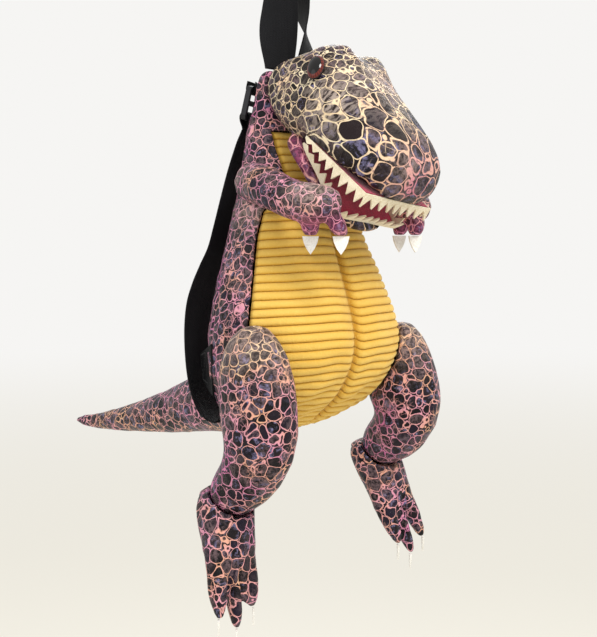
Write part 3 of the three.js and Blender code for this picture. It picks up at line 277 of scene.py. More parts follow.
def welded(obj, apart):
    """Merge points that lie closer than a given length, and turn all faces outwards."""
    merged = bmesh.new()
    merged.from_mesh(obj.data)
    bmesh.ops.remove_doubles(merged, verts=merged.verts, dist=apart)
    bmesh.ops.recalc_face_normals(merged, faces=merged.faces)
    merged.to_mesh(obj.data)
    merged.free()


def box_mm(node):
    """The low and the high corner of a solid's box, in millimetres."""
    return (np.array(corner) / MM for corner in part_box(node))


def ankle_of(side):
    """The middle of the top of a foot's box, in millimetres."""
    low, high = box_mm("foot_" + side)
    return np.array([0.5 * (low[0] + high[0]), 0.5 * (low[1] + high[1]), high[2]])


def ripple(points, wavelength, seed, waves=9):
    """Smooth random relief from -1 to 1: a sum of plane waves in random directions."""
    rng = np.random.default_rng(seed)
    ways = unit(rng.normal(size=(waves, 3))) * (2 * np.pi / wavelength) * rng.uniform(0.6, 1.5, (waves, 1))
    return np.sin(np.asarray(points) @ ways.T + rng.uniform(0, 6.28, waves)).sum(-1) / waves ** 0.5 / 1.4


def rests(obj, slot, *nodes):
    """A finished piece rides on the bag and stands in for its solids; the slot is not used."""
    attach(obj, "root")
    if nodes:
        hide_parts(*nodes)
    print(f"{obj.name}: {len(obj.data.polygons)} faces")
    return obj


# %% [markdown]
# ## Finishes: helpers
# Colours are easiest to choose as screen colours, but shaders work in linear light, so one
# function turns the one into the other. Another adds any node and joins its inputs.

# %% Node helpers
def linear(code):
    """A six-figure screen colour as linear red, green, blue and alpha."""
    screen = np.array([int(code[i:i + 2], 16) / 255 for i in (0, 2, 4)])
    light = np.where(screen <= 0.04045, screen / 12.92, ((screen + 0.055) / 1.055) ** 2.4)
    return (*light.tolist(), 1.0)


def new_finish(name, **uniform):
    """An empty material with one surface shader, whose even values are set on its own sockets."""
    finish = bpy.data.materials.new(name)
    finish.use_nodes = True
    shader = finish.node_tree.nodes["Principled BSDF"]
    for socket, value in uniform.items():
        shader.inputs[socket.replace("_", " ")].default_value = value
    return finish, finish.node_tree, shader


def add(tree, kind, inputs=None, **settings):
    """Add a node; each input is a plain value or the output socket of another node."""
    made = tree.nodes.new("ShaderNode" + kind)
    for key, value in settings.items():
        setattr(made, key, value)
    for key, value in (inputs or {}).items():
        if isinstance(value, bpy.types.NodeSocket):
            tree.links.new(value, made.inputs[key])
        else:
            made.inputs[key].default_value = value
    return made


def sums(tree, kind, a, b=0.0, c=0.0):
    """One arithmetic step on numbers."""
    return add(tree, "Math", {0: a, 1: b, 2: c}, operation=kind).outputs[0]


def times(tree, a, b):
    """One number times another."""
    return sums(tree, "MULTIPLY", a, b)


def smooth_step(tree, value, low, high):
    """0 below low, 1 above high, with an eased slope between."""
    ranged = add(tree, "MapRange", {0: value, 1: low, 2: high}, interpolation_type="SMOOTHSTEP")
    return ranged.outputs[0]


def blended(tree, share, a, b):
    """A colour between two colours."""
    mix = add(tree, "Mix", {0: share}, data_type="RGBA")
    for index, colour in ((6, a), (7, b)):
        if isinstance(colour, bpy.types.NodeSocket):
            tree.links.new(colour, mix.inputs[index])
        else:
            mix.inputs[index].default_value = colour
    return mix.outputs[2]


def stops(tree, share, *colours):
    """A colour ramp with evenly spaced colours."""
    ramp = add(tree, "ValToRGB", {0: share})
    elements = ramp.color_ramp.elements
    while len(elements) < len(colours):
        elements.new(1.0)
    for k, colour in enumerate(colours):
        elements[k].position = k / (len(colours) - 1)
        elements[k].color = linear(colour)
    return ramp.outputs[0]


def noise(tree, where, scale, detail=2.0, rough=0.5):
    """Cloudy noise, about 0 to 1."""
    made = add(tree, "TexNoise", {"Vector": where, "Scale": scale, "Detail": detail, "Roughness": rough})
    return made.outputs["Fac"]


def bumped(tree, shader, height, distance, strength=1.0):
    """Relief from a height map, in metres."""
    bump = add(tree, "Bump", {"Height": height, "Distance": distance, "Strength": strength})
    tree.links.new(bump.outputs[0], shader.inputs["Normal"])


def place_on_object(tree):
    """The point on the piece, in metres."""
    return add(tree, "TexCoord").outputs["Object"]


# %% [markdown]
# ## Foil-printed velboa
# The plush has a short nap, printed with foil: dark cells in a net of pink, peach or cream lines, with
# blue and violet glints painted into the cells as highlights, in place of the foil's reflections. A 3-D
# Voronoi pattern gives cells with no seam. The plain pattern less the softened one draws a thin net
# with rounded corners, and small dark drops where three lines meet. Each piece carries its own pattern
# coordinates, one unit to a cell, so cells can be long on the snout.

# %% Printed plush
def printed_plush(name, net, cells, gloss=0.36):
    """The net is where the plain distance to the nearest cell is more than the softened one: nothing
    in a cell, a tenth on the line between two cells, and most where three meet."""
    finish, tree, shader = new_finish(
        name, Sheen_Weight=0.01, Sheen_Roughness=0.4, Specular_IOR_Level=0.16,
    )
    pattern = add(tree, "Attribute", attribute_name="print").outputs["Vector"]
    tint, pale, dark, streaked, blush = (add(tree, "Attribute", attribute_name=kind).outputs["Fac"]
                                         for kind in ("tint", "pale", "dark", "streaked", "blush"))
    bend = add(tree, "TexNoise", {"Vector": pattern, "Scale": 1.1, "Detail": 1.0}).outputs["Color"]
    bend = add(tree, "VectorMath", {0: bend, 1: (0.5, 0.5, 0.5)}, operation="SUBTRACT").outputs[0]
    where = add(tree, "VectorMath", {0: bend, 1: (0.5, 0.5, 0.5), 2: pattern},
                operation="MULTIPLY_ADD").outputs[0]
    places = {"Vector": where, "Scale": 1.0, "Randomness": 0.82}
    cell = add(tree, "TexVoronoi", places, feature="F1")
    soft = add(tree, "TexVoronoi", {**places, "Smoothness": 0.8}, feature="SMOOTH_F1")
    near = sums(tree, "SUBTRACT", cell.outputs["Distance"], soft.outputs["Distance"])
    near = sums(tree, "MULTIPLY_ADD", noise(tree, pattern, 3.0, 3.0), 0.03,
                sums(tree, "SUBTRACT", near, 0.015))
    line = smooth_step(tree, near, 0.062, 0.08)
    drop = smooth_step(tree, near, 0.112, 0.124)
    line = times(tree, line, sums(tree, "SUBTRACT", 1.0, drop))
    # a finer, fainter net inside some of the cells
    fine = add(tree, "TexVoronoi", {"Vector": where, "Scale": 2.3, "Randomness": 0.9},
               feature="DISTANCE_TO_EDGE").outputs["Distance"]
    thin = sums(tree, "SUBTRACT", 1.0, smooth_step(tree, fine, 0.02, 0.07))
    patchy = smooth_step(tree, noise(tree, pattern, 0.5, 2.0), 0.56, 0.66)
    line = sums(tree, "MAXIMUM", line, times(tree, times(tree, thin, patchy), 0.6))
    shade = add(tree, "SeparateColor", {0: cell.outputs["Color"]})
    body = stops(tree, shade.outputs[0], *cells)
    # painted highlights: lilac glints painted in the middle of some cells stand in for the foil's
    # reflections; taupe dust over others
    painted_glint = smooth_step(tree, noise(tree, where, 2.4, 4.0, 0.65), 0.5, 0.68)
    some = smooth_step(tree, shade.outputs[1], 0.35, 0.75)
    body = blended(tree, times(tree, times(tree, painted_glint, some), 0.75), body, linear("8580a6"))
    dusty = smooth_step(tree, sums(tree, "MULTIPLY_ADD", shade.outputs[2], 0.35,
                                   noise(tree, pattern, 0.3, 2.0)), 0.62, 0.8)
    speck = smooth_step(tree, noise(tree, where, 3.2, 4.0, 0.75), 0.4, 0.6)
    body = blended(tree, times(tree, times(tree, dusty, speck), 0.55), body, linear("846c70"))
    hatch = add(tree, "Mapping", {"Vector": where, "Rotation": (0.5, 0, 0), "Scale": (1.4, 8.0, 1.4)})
    hatch = smooth_step(tree, noise(tree, hatch.outputs[0], 1.0, 3.0, 0.6), 0.4, 0.56)
    taupe = blended(tree, hatch, linear("241b1a"), linear("a3948a"))
    body = blended(tree, times(tree, streaked, smooth_step(tree, shade.outputs[2], 0.12, 0.2)), body, taupe)
    body = blended(tree, times(tree, pale, sums(tree, "MULTIPLY_ADD", speck, 0.7, 0.15)), body,
                   linear("c3ab9f"))
    body = blended(tree, times(tree, blush, sums(tree, "MULTIPLY_ADD", speck, 0.6, 0.25)), body,
                   linear("a04a72"))
    cloud = noise(tree, pattern, 0.35, 3.0, 0.6)
    hue = sums(tree, "ADD", tint, sums(tree, "MULTIPLY_ADD", cloud, 1.1, -0.55))
    lines = stops(tree, hue, *net)
    lines = blended(tree, times(tree, pale, 0.5), lines, linear("f0dcc8"))
    lines = blended(tree, times(tree, blush, 0.7), lines, linear("e07fa6"))
    lines = blended(tree, smooth_step(tree, noise(tree, pattern, 6.0, 3.0), 0.54, 0.8), lines,
                    linear("7d5560"))
    colour = blended(tree, line, body, lines)
    colour = blended(tree, dark, colour, linear("120b0c"))
    tree.links.new(colour, shader.inputs["Base Color"])
    tree.links.new(sums(tree, "MULTIPLY_ADD", painted_glint, 0.14, gloss), shader.inputs["Roughness"])
    spot = place_on_object(tree)
    nap = noise(tree, spot, 900.0, 3.0, 0.7)
    crush = noise(tree, spot, 160.0, 3.0, 0.6)
    height = sums(tree, "MULTIPLY_ADD", crush, 1.6, times(tree, nap, 0.55))
    height = sums(tree, "MULTIPLY_ADD", line, -0.35, height)
    bumped(tree, shader, height, 0.0011, 0.75)
    return finish


BODY_NET = ("ecd3a8", "e2a888", "dc98aa", "cc70a4", "a04a8c")
HEAD_NET = ("f3e4c2", "ead0aa", "e0b096", "d68c96", "bd5c8c")
DARK_CELLS = ("080608", "0d090d", "1a1224", "1e161a", "0a070a")
BROWN_CELLS = ("090707", "110b0c", "221615", "17101c", "0a0808")
body_print = printed_plush("foil-printed velboa, pink net", BODY_NET, DARK_CELLS)
head_print = printed_plush("foil-printed velboa, cream net", HEAD_NET, BROWN_CELLS)

# %% [markdown]
# ## Wide-wale corduroy
# The belly is a soft ribbed cloth. The ribs are real relief in the mesh, about 7 mm apart; the
# finish paints shade into the grooves, along the middle seam and near the turned-in edges, brushes the pile
# and adds fuzz.

# %% Corduroy
def corduroy_finish():
    finish, tree, shader = new_finish(
        "wide-wale corduroy", Roughness=0.92, Sheen_Weight=0.55, Sheen_Roughness=0.45,
        Sheen_Tint=linear("ffe9a8"), Specular_IOR_Level=0.25,
    )
    rib = add(tree, "Attribute", attribute_name="rib").outputs["Fac"]
    spot = place_on_object(tree)
    # painted shade: the ramp runs from dark brown in the grooves to pale gold on the crests
    groove_shaded_pile = stops(tree, rib, "5d3a08", "b98322", "dcb04a", "ebc666")
    worn = blended(tree, times(tree, noise(tree, spot, 45.0, 3.0), 0.5), groove_shaded_pile, linear("d39c2c"))
    fleck = smooth_step(tree, noise(tree, spot, 1100.0, 2.0), 0.5, 0.75)
    tree.links.new(blended(tree, times(tree, fleck, 0.3), worn, linear("f4d47c")),
                   shader.inputs["Base Color"])
    fuzz = sums(tree, "MULTIPLY_ADD", noise(tree, spot, 700.0, 3.0, 0.7), 1.0,
                times(tree, noise(tree, spot, 210.0, 2.0), 0.8))
    bumped(tree, shader, fuzz, 0.0009, 0.7)
    return finish


corduroy = corduroy_finish()

# %% [markdown]
# ## Felt, webbing, plastic and glass-like eyes
# Felt is a mat of short fibres: stretched noise gives its hairs and a little unevenness its
# colour. Webbing shows its weave: fine ribs across it and a herringbone of the warp along it.

# %% Felt
def felt_finish(name, colour, shade, fibre=1.0):
    finish, tree, shader = new_finish(
        name, Roughness=0.95, Sheen_Weight=0.35, Sheen_Roughness=0.5, Specular_IOR_Level=0.2,
    )
    spot = place_on_object(tree)
    stretched = add(tree, "Mapping", {"Vector": spot, "Rotation": (0.5, 0.9, 0.3), "Scale": (420, 1500, 900)})
    hairs = noise(tree, stretched.outputs[0], 1.0, 3.0, 0.7)
    mottled = sums(tree, "ADD", times(tree, hairs, 0.6), times(tree, noise(tree, spot, 130.0), 0.4))
    tree.links.new(blended(tree, smooth_step(tree, mottled, 0.35, 0.65), linear(shade), linear(colour)),
                   shader.inputs["Base Color"])
    bumped(tree, shader, sums(tree, "ADD", hairs, noise(tree, spot, 1600.0)), 0.0004 * fibre, 0.8)
    return finish


tooth_felt = felt_finish("cream felt", "f1e6cc", "d9caa6")
claw_felt = felt_finish("white felt", "f7f5ef", "dedad0")
mouth_felt = felt_finish("crimson felt", "c9174f", "9d0f3c")

# %% Webbing, plastic and eye
def webbing_finish():
    finish, tree, shader = new_finish(
        "nylon webbing", Roughness=0.7, Specular_IOR_Level=0.2,
    )
    across = add(tree, "SeparateXYZ", {0: add(tree, "UVMap", uv_map="cloth_uv").outputs[0]})
    u, v = across.outputs[0], across.outputs[1]
    zigzag = sums(tree, "PINGPONG", u, 0.0036)
    weft = sums(tree, "SINE", times(tree, sums(tree, "ADD", v, times(tree, zigzag, 0.6)), 6.283 / 0.0013))
    warp = sums(tree, "SINE", times(tree, u, 6.283 / 0.0012))
    weave = sums(tree, "MULTIPLY_ADD", times(tree, weft, warp), 0.5, 0.5)
    spot = place_on_object(tree)
    dusty = times(tree, noise(tree, spot, 60.0, 4.0), weave)
    tree.links.new(stops(tree, dusty, "060608", "0e0e12", "1b1b21"), shader.inputs["Base Color"])
    bumped(tree, shader, sums(tree, "MULTIPLY_ADD", weave, 1.0, times(tree, weft, 0.35)), 0.00035, 0.9)
    return finish


def plastic_finish():
    finish, tree, shader = new_finish("acetal buckle", Specular_IOR_Level=0.35)
    spot = place_on_object(tree)
    grain = noise(tree, spot, 1800.0, 2.0)
    tree.links.new(blended(tree, noise(tree, spot, 90.0, 3.0), linear("0f0f11"), linear("1d1d21")),
                   shader.inputs["Base Color"])
    tree.links.new(sums(tree, "MULTIPLY_ADD", grain, 0.15, 0.34), shader.inputs["Roughness"])
    bumped(tree, shader, grain, 0.00006, 0.6)
    return finish


def eye_finish():
    """Rings by the share of the radius: a black pupil, a red-brown iris with rays, and a black edge painted
    as the thin shadow round the eye.
    """
    finish, tree, shader = new_finish("polished safety eye", Roughness=0.09, Specular_IOR_Level=0.35,
                                      Coat_Weight=0.15, Coat_Roughness=0.03)
    radius = add(tree, "Attribute", attribute_name="radius").outputs["Fac"]
    ray = add(tree, "Attribute", attribute_name="ray").outputs["Fac"]
    rays = sums(tree, "MULTIPLY_ADD", sums(tree, "SINE", times(tree, ray, 6.283 * 22)), 0.25, 0.5)
    iris = stops(tree, rays, "2c0a06", "5c1a10", "7c2c1c")
    # the iris stops short of the edge: the black beyond it is painted shadow where the dome meets the cloth
    ring = times(tree, smooth_step(tree, radius, 0.72, 0.76), smooth_step(tree, radius, 0.98, 0.94))
    tree.links.new(blended(tree, ring, linear("060404"), iris), shader.inputs["Base Color"])
    return finish


webbing = webbing_finish()
plastic = plastic_finish()
eye_glass = eye_finish()
thread_black = felt_finish("black sewing thread", "1b1b20", "0c0c0f", 0.4)
print("finishes:", len(bpy.data.materials))

# %% [markdown]
# ## The torso's skin
# The skin covers the whole torso except the belly's window and the zip's slot. Its columns are
# laid so that some of them run exactly along those edges; the faces between them are left out,
# and Solidify gives the plush its thickness.

# %% Torso skin
def torso_skin():
    """Rings of the torso form. Each ring's turns are spread over four spans: window, right flank, zip
    and left flank, so that span edges follow the window and the slot."""
    panel_low, panel_high = PANEL_EDGE[0][0], PANEL_EDGE[-1][0]
    place = np.unique(np.round(np.concatenate([
        np.linspace(0.001, 0.999, 190), [panel_low, panel_high, ZIP_LOW, ZIP_HIGH]]), 6))
    window = panel_angle(np.clip(place, panel_low, panel_high)) + 0.9 * MM / ring_length(place)
    slot = np.minimum(3.5 * MM / ring_length(place), 0.05)
    spans = [(-window, window, 24), (window, 0.5 - slot, 64), (0.5 - slot, 0.5 + slot, 4),
             (0.5 + slot, 1 - window, 64)]
    turn = np.concatenate([low[:, None] + (high - low)[:, None] * np.arange(n) / n
                           for low, high, n in spans], 1)
    column = np.concatenate([np.full(n, k) for k, (_, _, n) in enumerate(spans)])
    places = np.repeat(place[:, None], turn.shape[1], 1)
    bare = torso(turn, places)
    edge = np.abs(np.minimum(turn % 1, 1 - turn % 1) - window[:, None]) * ring_length(place)[:, None]
    beside = np.exp(-(edge / (7 * MM)) ** 2) * ((places > panel_low - 0.02) & (places < panel_high + 0.01))
    soft = 0.55 * ripple(bare, 34 * MM, 3) + 0.3 * ripple(bare, 15 * MM, 4)
    pucker = 0.5 * np.cos(2 * np.pi * places * TORSO_HEIGHT / (9 * MM)) * beside
    side = np.abs(np.abs(turn % 1 - 0.5) - 0.2) * ring_length(place)[:, None]
    seam = -1.1 * np.exp(-(side / (1.6 * MM)) ** 2)
    points = raised(torso, turn, places, (soft + pucker + seam) * MM - 0.2 * MM)
    faces = grid_faces(*turn.shape, loop=True)
    middle = 0.5 * (place[:-1] + place[1:])[:, None]
    in_window = (column == 0)[None, :] & (middle > panel_low) & (middle < panel_high)
    in_slot = (column == 2)[None, :] & (middle > ZIP_LOW) & (middle < ZIP_HIGH)
    kept = faces[~(in_window | in_slot)]
    count = points.shape[0] * points.shape[1]
    caps = np.array([torso(0.0, 0.0), torso(0.0, 1.0)])
    first, last = np.arange(turn.shape[1]), count - turn.shape[1] + np.arange(turn.shape[1])
    fans = [np.stack([np.full(len(r), c), np.roll(r, -1) if c == count else r,
                      r if c == count else np.roll(r, -1)], 1)
            for r, c in ((first, count), (last, count + 1))]
    mesh = bpy.data.meshes.new("torso_skin")
    mesh.from_pydata(np.concatenate([points.reshape(-1, 3), caps]).tolist(), [],
                     kept[:, ::-1].tolist() + [f[::-1].tolist() for f in np.concatenate(fans)])
    obj = link("torso_skin", mesh)
    cleaned = bmesh.new()
    cleaned.from_mesh(mesh)
    bmesh.ops.delete(cleaned, geom=[v for v in cleaned.verts if not v.link_faces], context="VERTS")
    bmesh.ops.recalc_face_normals(cleaned, faces=cleaned.faces)
    cleaned.to_mesh(mesh)
    cleaned.free()
    wall = obj.modifiers.new("plush", "SOLIDIFY")
    wall.thickness, wall.offset = PLUSH - 0.3 * MM, -1
    return baked(obj)


skin = torso_skin()
skin.data.materials.append(body_print)
rests(skin, "scale_print", "body_shell")


# %% [markdown]
# ## Where the print changes
# The cloth isn't the same all over: some patches have a magenta net, some a pale one. A few round
# zones with soft edges steer the tint. The pattern coordinates are the place divided by the size
# of a cell, so the cells are as large as the real ones on each piece.

# %% Print zones
HEAD_TURN = turned(HEAD_PITCH, "X") @ turned(HEAD_ROLL, "Y")


def zone(points, middle, size):
    """A soft blob: a bell curve of the distance from its middle, in units of its size (millimetres)."""
    away = (points / MM - np.asarray(middle)) / np.asarray(size)
    return np.exp(-(away ** 2).sum(-1))


def head_cells(local):
    """Cells grow from 6 mm behind the eye to 12 by 21 mm on the snout: the place along the head is the
    running sum of one over the cell's length, and the other two axes are divided by its width."""
    ahead = np.linspace(-0.09, 0.1, 400)
    long = np.interp(ahead, [-0.08, -0.02, 0.015, 0.06, 0.08], [6, 7.5, 21, 20, 15]) * MM
    count = np.concatenate([[0], np.cumsum(np.diff(ahead) / long[1:])])
    wide = np.interp(-local[:, 1], [-0.08, -0.02, 0.02, 0.08], [6, 7.5, 11.5, 14]) * MM
    return np.stack([local[:, 0] / wide, np.interp(-local[:, 1], ahead, count), local[:, 2] / wide], 1)


def printed(obj, cell, tint=0.4, zones=(), on_head=False, **spots):
    """Pattern coordinates and tints for one piece. On the head the pattern turns with the snout."""
    points = points_of(obj)
    note(obj, "print", head_cells((points - HEAD_AT) @ HEAD_TURN) if on_head else points / cell)
    tints = np.full(len(points), float(tint))
    for middle, size, change in zones:
        tints += change * zone(points, middle, size)
    note(obj, "tint", tints)
    for name in ("pale", "dark", "streaked", "blush"):
        total = np.zeros(len(points))
        for middle, size, strength in spots.get(name, ()):
            total += strength * zone(points, middle, size)
        note(obj, name, np.clip(total, 0, 1))


printed(skin, 7.8 * MM, 0.45,
        zones=[((-70, 20, -170), (40, 40, 50), 0.25), ((-60, 40, -280), (50, 40, 60), 0.25),
               ((0, 60, -200), (60, 30, 80), 0.2)],
        pale=[((-60, -20, -196), (26, 30, 16), 0.55)])

# %% [markdown]
# ## Corduroy belly
# The panel is a grid over the front of the torso. Rows are placed along the cloth, so all ribs are
# equally wide, and nine rows to a rib follow a rounded crest and a narrow groove. The ribs sink at
# the side seams, where the cloth is turned in, and at the middle seam, where the two halves meet a
# little out of step. Low down the spare cloth gathers in slanting folds.

# %% Belly panel
def belly():
    """Depth under the torso's surface = sink + rib height times (1 - crest), less the seams' pull."""
    low, high = PANEL_EDGE[0][0], PANEL_EDGE[-1][0]
    fine = np.linspace(low, high, 1200)
    path = torso(np.zeros_like(fine), fine)
    length = run_along(path)
    ribs = int(round(length[-1] / RIB_PITCH))
    within = np.array([0, 0.05, 0.13, 0.27, 0.42, 0.58, 0.73, 0.87, 0.95])
    phase = np.append((np.arange(ribs)[:, None] + within).ravel(), ribs)
    across = np.sin(np.linspace(-1, 1, 121) * np.pi / 2 * 0.86) / np.sin(np.pi / 2 * 0.86)
    across = np.sort(np.append(across, [-0.02, 0.02, -0.008, 0.008]))
    a, s = np.meshgrid(across, phase / ribs)
    half_out = np.abs(a)
    down = np.clip((s - 0.45) / 0.55, 0, 1)
    dip = (0.011 * np.sin(np.pi * np.clip(s, 0, 1)) * (half_out ** 1.5 - 0.4)
           + 0.006 * np.exp(-(half_out / 0.12) ** 2) * np.sin(np.pi * s)
           + np.where(a > 0, 0.45 / ribs, 0) * np.clip(half_out / 0.03, 0, 1))
    dipped = np.clip(s + dip * np.clip(np.minimum(s, 1 - s) * 12, 0, 1), 0, 1)
    place = np.interp(dipped * length[-1], length, fine)
    turn = a * panel_angle(place)
    rib = 1 - np.abs(2 * (np.meshgrid(across, phase % 1)[1]) - 1) ** 2.6
    crest = np.clip(rib, 0, 1) ** 0.55
    ring = ring_length(place)
    to_side = (panel_angle(place) - np.abs(turn)) * ring
    to_end = np.minimum(s, 1 - s) * length[-1]
    to_edge = np.minimum(to_side, to_end)
    firm = 1 - np.exp(-(to_edge / (3.2 * MM)) ** 2)
    from_middle = np.abs(turn) * ring
    stitched = np.exp(-(from_middle / (2.2 * MM)) ** 2) * np.clip(np.minimum(s, 1 - s) * 10, 0, 1)
    grain = torso(turn, place)
    slant = np.cos(2 * np.pi * (s * 9 + half_out * 2.6 * np.sign(a)) + 0.8 * ripple(grain, 60 * MM, 11))
    gather = 0.9 * slant * np.exp(-((s - 0.8) / 0.16) ** 2) * np.exp(-((half_out - 0.22) / 0.3) ** 2)
    slack = 0.7 * ripple(grain, 42 * MM, 12) + 0.25 * ripple(grain, 14 * MM, 13)
    out = (-PANEL_SINK - 1.25 * RIB_HEIGHT * (1 - crest * (0.25 + 0.75 * firm) * (1 - 0.6 * stitched))
           + (gather + slack) * MM * firm * (1 - stitched) + 0.9 * MM * (firm - 1) - 1.7 * MM * stitched)
    obj = mesh_from("corduroy_belly", raised(torso, turn, place, out),
                    grid_faces(*a.shape).reshape(-1, 4)[:, ::-1])
    # the rib value paints shade for the finish: low in the grooves, lower still at the middle seam and near
    # the turned-in edges
    note(obj, "rib", (crest * (1 - 0.7 * stitched) * (0.55 + 0.45 * firm)).ravel())
    wall = obj.modifiers.new("cloth", "SOLIDIFY")
    wall.thickness, wall.offset = 1.6 * MM, -1
    print("ribs:", ribs, "cloth down the front, mm:", round(length[-1] / MM))
    return baked(obj)


panel = belly()
panel.data.materials.append(corduroy)
rests(panel, "corduroy", "belly_panel")

# %% [markdown]
# ## Stuffed pieces
# A stuffed limb is a cloth bag under pressure. Each one starts as a copy of its solid, remade in
# even small faces and drawn in a little. Blender's cloth then blows it up for twenty steps. No
# point may move further than a cap, so the limb stays in its own space, clear of its neighbours.

# %% Smoothing
def evened(obj, rounds, share=0.5):
    """Move every point part of the way to the mean of its neighbours, then a little back out. The
    share is one number, or one for every point."""
    edges = np.empty(2 * len(obj.data.edges), int)
    obj.data.edges.foreach_get("vertices", edges)
    edges = edges.reshape(-1, 2)
    points = points_of(obj)
    ends = np.concatenate([edges, edges[:, ::-1]])
    degree = np.maximum(np.bincount(ends[:, 0], minlength=len(points)), 1)[:, None]
    for k in range(2 * rounds):
        total = [np.bincount(ends[:, 0], points[ends[:, 1], i], len(points)) for i in range(3)]
        mean = np.stack(total, 1) / degree
        points = points + (share if k % 2 == 0 else -1.02 * share) * (mean - points)
    set_points(obj, points)


# %% Stuffing
STUFFED = {
    "head_upper": 3.2, "lower_jaw": 2.4, "arm_right": 2.2, "arm_left": 2.2, "leg_right": 3.4,
    "leg_left": 3.4, "foot_right": 2.4, "foot_left": 2.4, "tail": 3.6,
}
DRAWN_IN, CAP = 0.9 * MM, 1.5 * MM


def lip_share(obj, node):
    """How much a point may be smoothed: a half, falling to a little within 5 mm of the mouth's edge,
    because a soft rim there would show the lining behind the teeth."""
    if node not in ("head_upper", "lower_jaw"):
        return 0.5
    local = (points_of(obj) - HEAD_AT) @ HEAD_TURN
    if node == "lower_jaw":
        local = (local + [0, 0, JAW_SINK]) @ turned(JAW_OPEN, "X") * [1, 1, -1]
    near = np.exp(-(((local[:, 2] - 1.9 * MM) / (5 * MM)) ** 2)) * (local[:, 1] < 0)
    return (0.5 - 0.44 * near)[:, None]


def volume_and_area(obj):
    """Volume by the sum of the corner pyramids, and the area, both from triangles of the faces."""
    whole = bmesh.new()
    whole.from_mesh(obj.data)
    volume, area = whole.calc_volume(), sum(face.calc_area() for face in whole.faces)
    whole.free()
    return volume, area


def filled(obj, volume):
    """Move the skin along its normals until the piece holds its volume again, less a hair."""
    for _ in range(2):
        now, area = volume_and_area(obj)
        set_points(obj, points_of(obj) + normals_of(obj) * ((volume - now) / area - 0.05 * MM))


def cloth_bag(node, voxel):
    """A copy of a solid, merged, remade with even faces, smoothed and moved in along its normals."""
    mesh = NODES[node].data.copy()
    mesh.materials.clear()
    obj = link(node + "_stuffed", mesh)
    merged = bmesh.new()
    merged.from_mesh(mesh)
    bmesh.ops.remove_doubles(merged, verts=merged.verts, dist=1e-6)
    merged.to_mesh(mesh)
    held[node] = merged.calc_volume()
    merged.free()
    remade = obj.modifiers.new("even", "REMESH")
    remade.mode, remade.voxel_size = "VOXEL", voxel * MM
    baked(obj)
    evened(obj, 4, lip_share(obj, node))
    set_points(obj, points_of(obj) - DRAWN_IN * normals_of(obj))
    return obj


held = {}
bags = {node: cloth_bag(node, voxel) for node, voxel in STUFFED.items()}
starts = {node: points_of(obj) for node, obj in bags.items()}
for obj in bags.values():
    blown = obj.modifiers.new("stuffing", "CLOTH")
    cloth = blown.settings
    cloth.quality, cloth.mass = 4, 0.2
    cloth.use_pressure, cloth.uniform_pressure_force = True, 4.0
    cloth.tension_stiffness = cloth.compression_stiffness = 12
    cloth.bending_stiffness = 0.6
    cloth.effector_weights.gravity = 0
for step in range(1, 21):
    bpy.context.scene.frame_set(step)
for obj in bags.values():
    baked(obj)
bpy.context.scene.frame_set(1)
for node, obj in bags.items():
    moved = points_of(obj) - starts[node]
    length = np.linalg.norm(moved, axis=1, keepdims=True)
    set_points(obj, starts[node] + moved * np.minimum(1, CAP / np.maximum(length, 1e-9)))
    evened(obj, 2, 0.8 * lip_share(obj, node))
    finer = obj.modifiers.new("finer", "SUBSURF")
    finer.levels = finer.render_levels = 1
    baked(obj)
    filled(obj, held[node])
    print(node, "faces", len(obj.data.polygons), "mean move mm", round(float(length.mean()) / MM, 2))

# %% [markdown]
# ## Creases and gathers
# Seams come after the remesh, which would have wiped them out. A crease pulls the cloth in along a
# plane; gathers are small puckers that run out from a seam and fade. The lips come down over the
# roots of the teeth, the jaw's cloth runs back into cheeks, and creases part the toes.

# %% Seams on stuffed pieces
def seam(obj, through, way, depth=1.2, width=1.5, puckers=0, reach=9.0, pucker=0.5, within=None):
    """depth times a bell curve of the height over the plane, plus puckers round the plane's axis."""
    points, normals = points_of(obj), normals_of(obj)
    way = unit(np.asarray(way, float))
    away = points / MM - np.asarray(through, float)
    height = away @ way
    level = away - height[:, None] * way
    first = unit(np.cross(way, [0.3, 0.9, 0.1]))
    angle = np.arctan2(level @ np.cross(way, first), level @ first)
    pull = depth * np.exp(-((height / width) ** 2))
    folds = 0.5 + 0.5 * np.cos(puckers * angle + 1.3 * np.sin(3 * angle))
    pull += pucker * np.exp(-np.abs(height) / reach) * folds * (puckers > 0)
    if within is not None:
        pull = pull * (np.linalg.norm(level, axis=1) < within)
    set_points(obj, points - normals * (pull * MM)[:, None])


def wrinkled(obj, size, height, seed):
    """Low folds in the cloth: smooth relief of two sizes, only inwards."""
    points = points_of(obj)
    relief = 0.7 * ripple(points, size * MM, seed) + 0.3 * ripple(points, 0.45 * size * MM, seed + 50)
    set_points(obj, points - normals_of(obj) * ((0.5 + 0.5 * relief) * height * MM)[:, None])


for side in SIDES:
    ankle = ankle_of(side)
    seam(bags["foot_" + side], ankle - np.array([0, 0, 14]), (0, -0.25, 1), 0.9, 1.4, puckers=15, reach=8,
         pucker=0.35)
    wrinkled(bags["foot_" + side], 26, 0.7, 21)
    wrinkled(bags["leg_" + side], 38, 0.8, 22)
    wrinkled(bags["arm_" + side], 22, 0.6, 23)
wrinkled(bags["head_upper"], 34, 0.6, 24)
wrinkled(bags["lower_jaw"], 26, 0.5, 25)
wrinkled(bags["tail"], 40, 0.8, 26)
root = points_of(bags["tail"])[:, 1].min() / MM
seam(bags["tail"], (0, root + 12, -345), (0, 1, -0.15), 0.0, 1.5, puckers=19, reach=16, pucker=0.9)

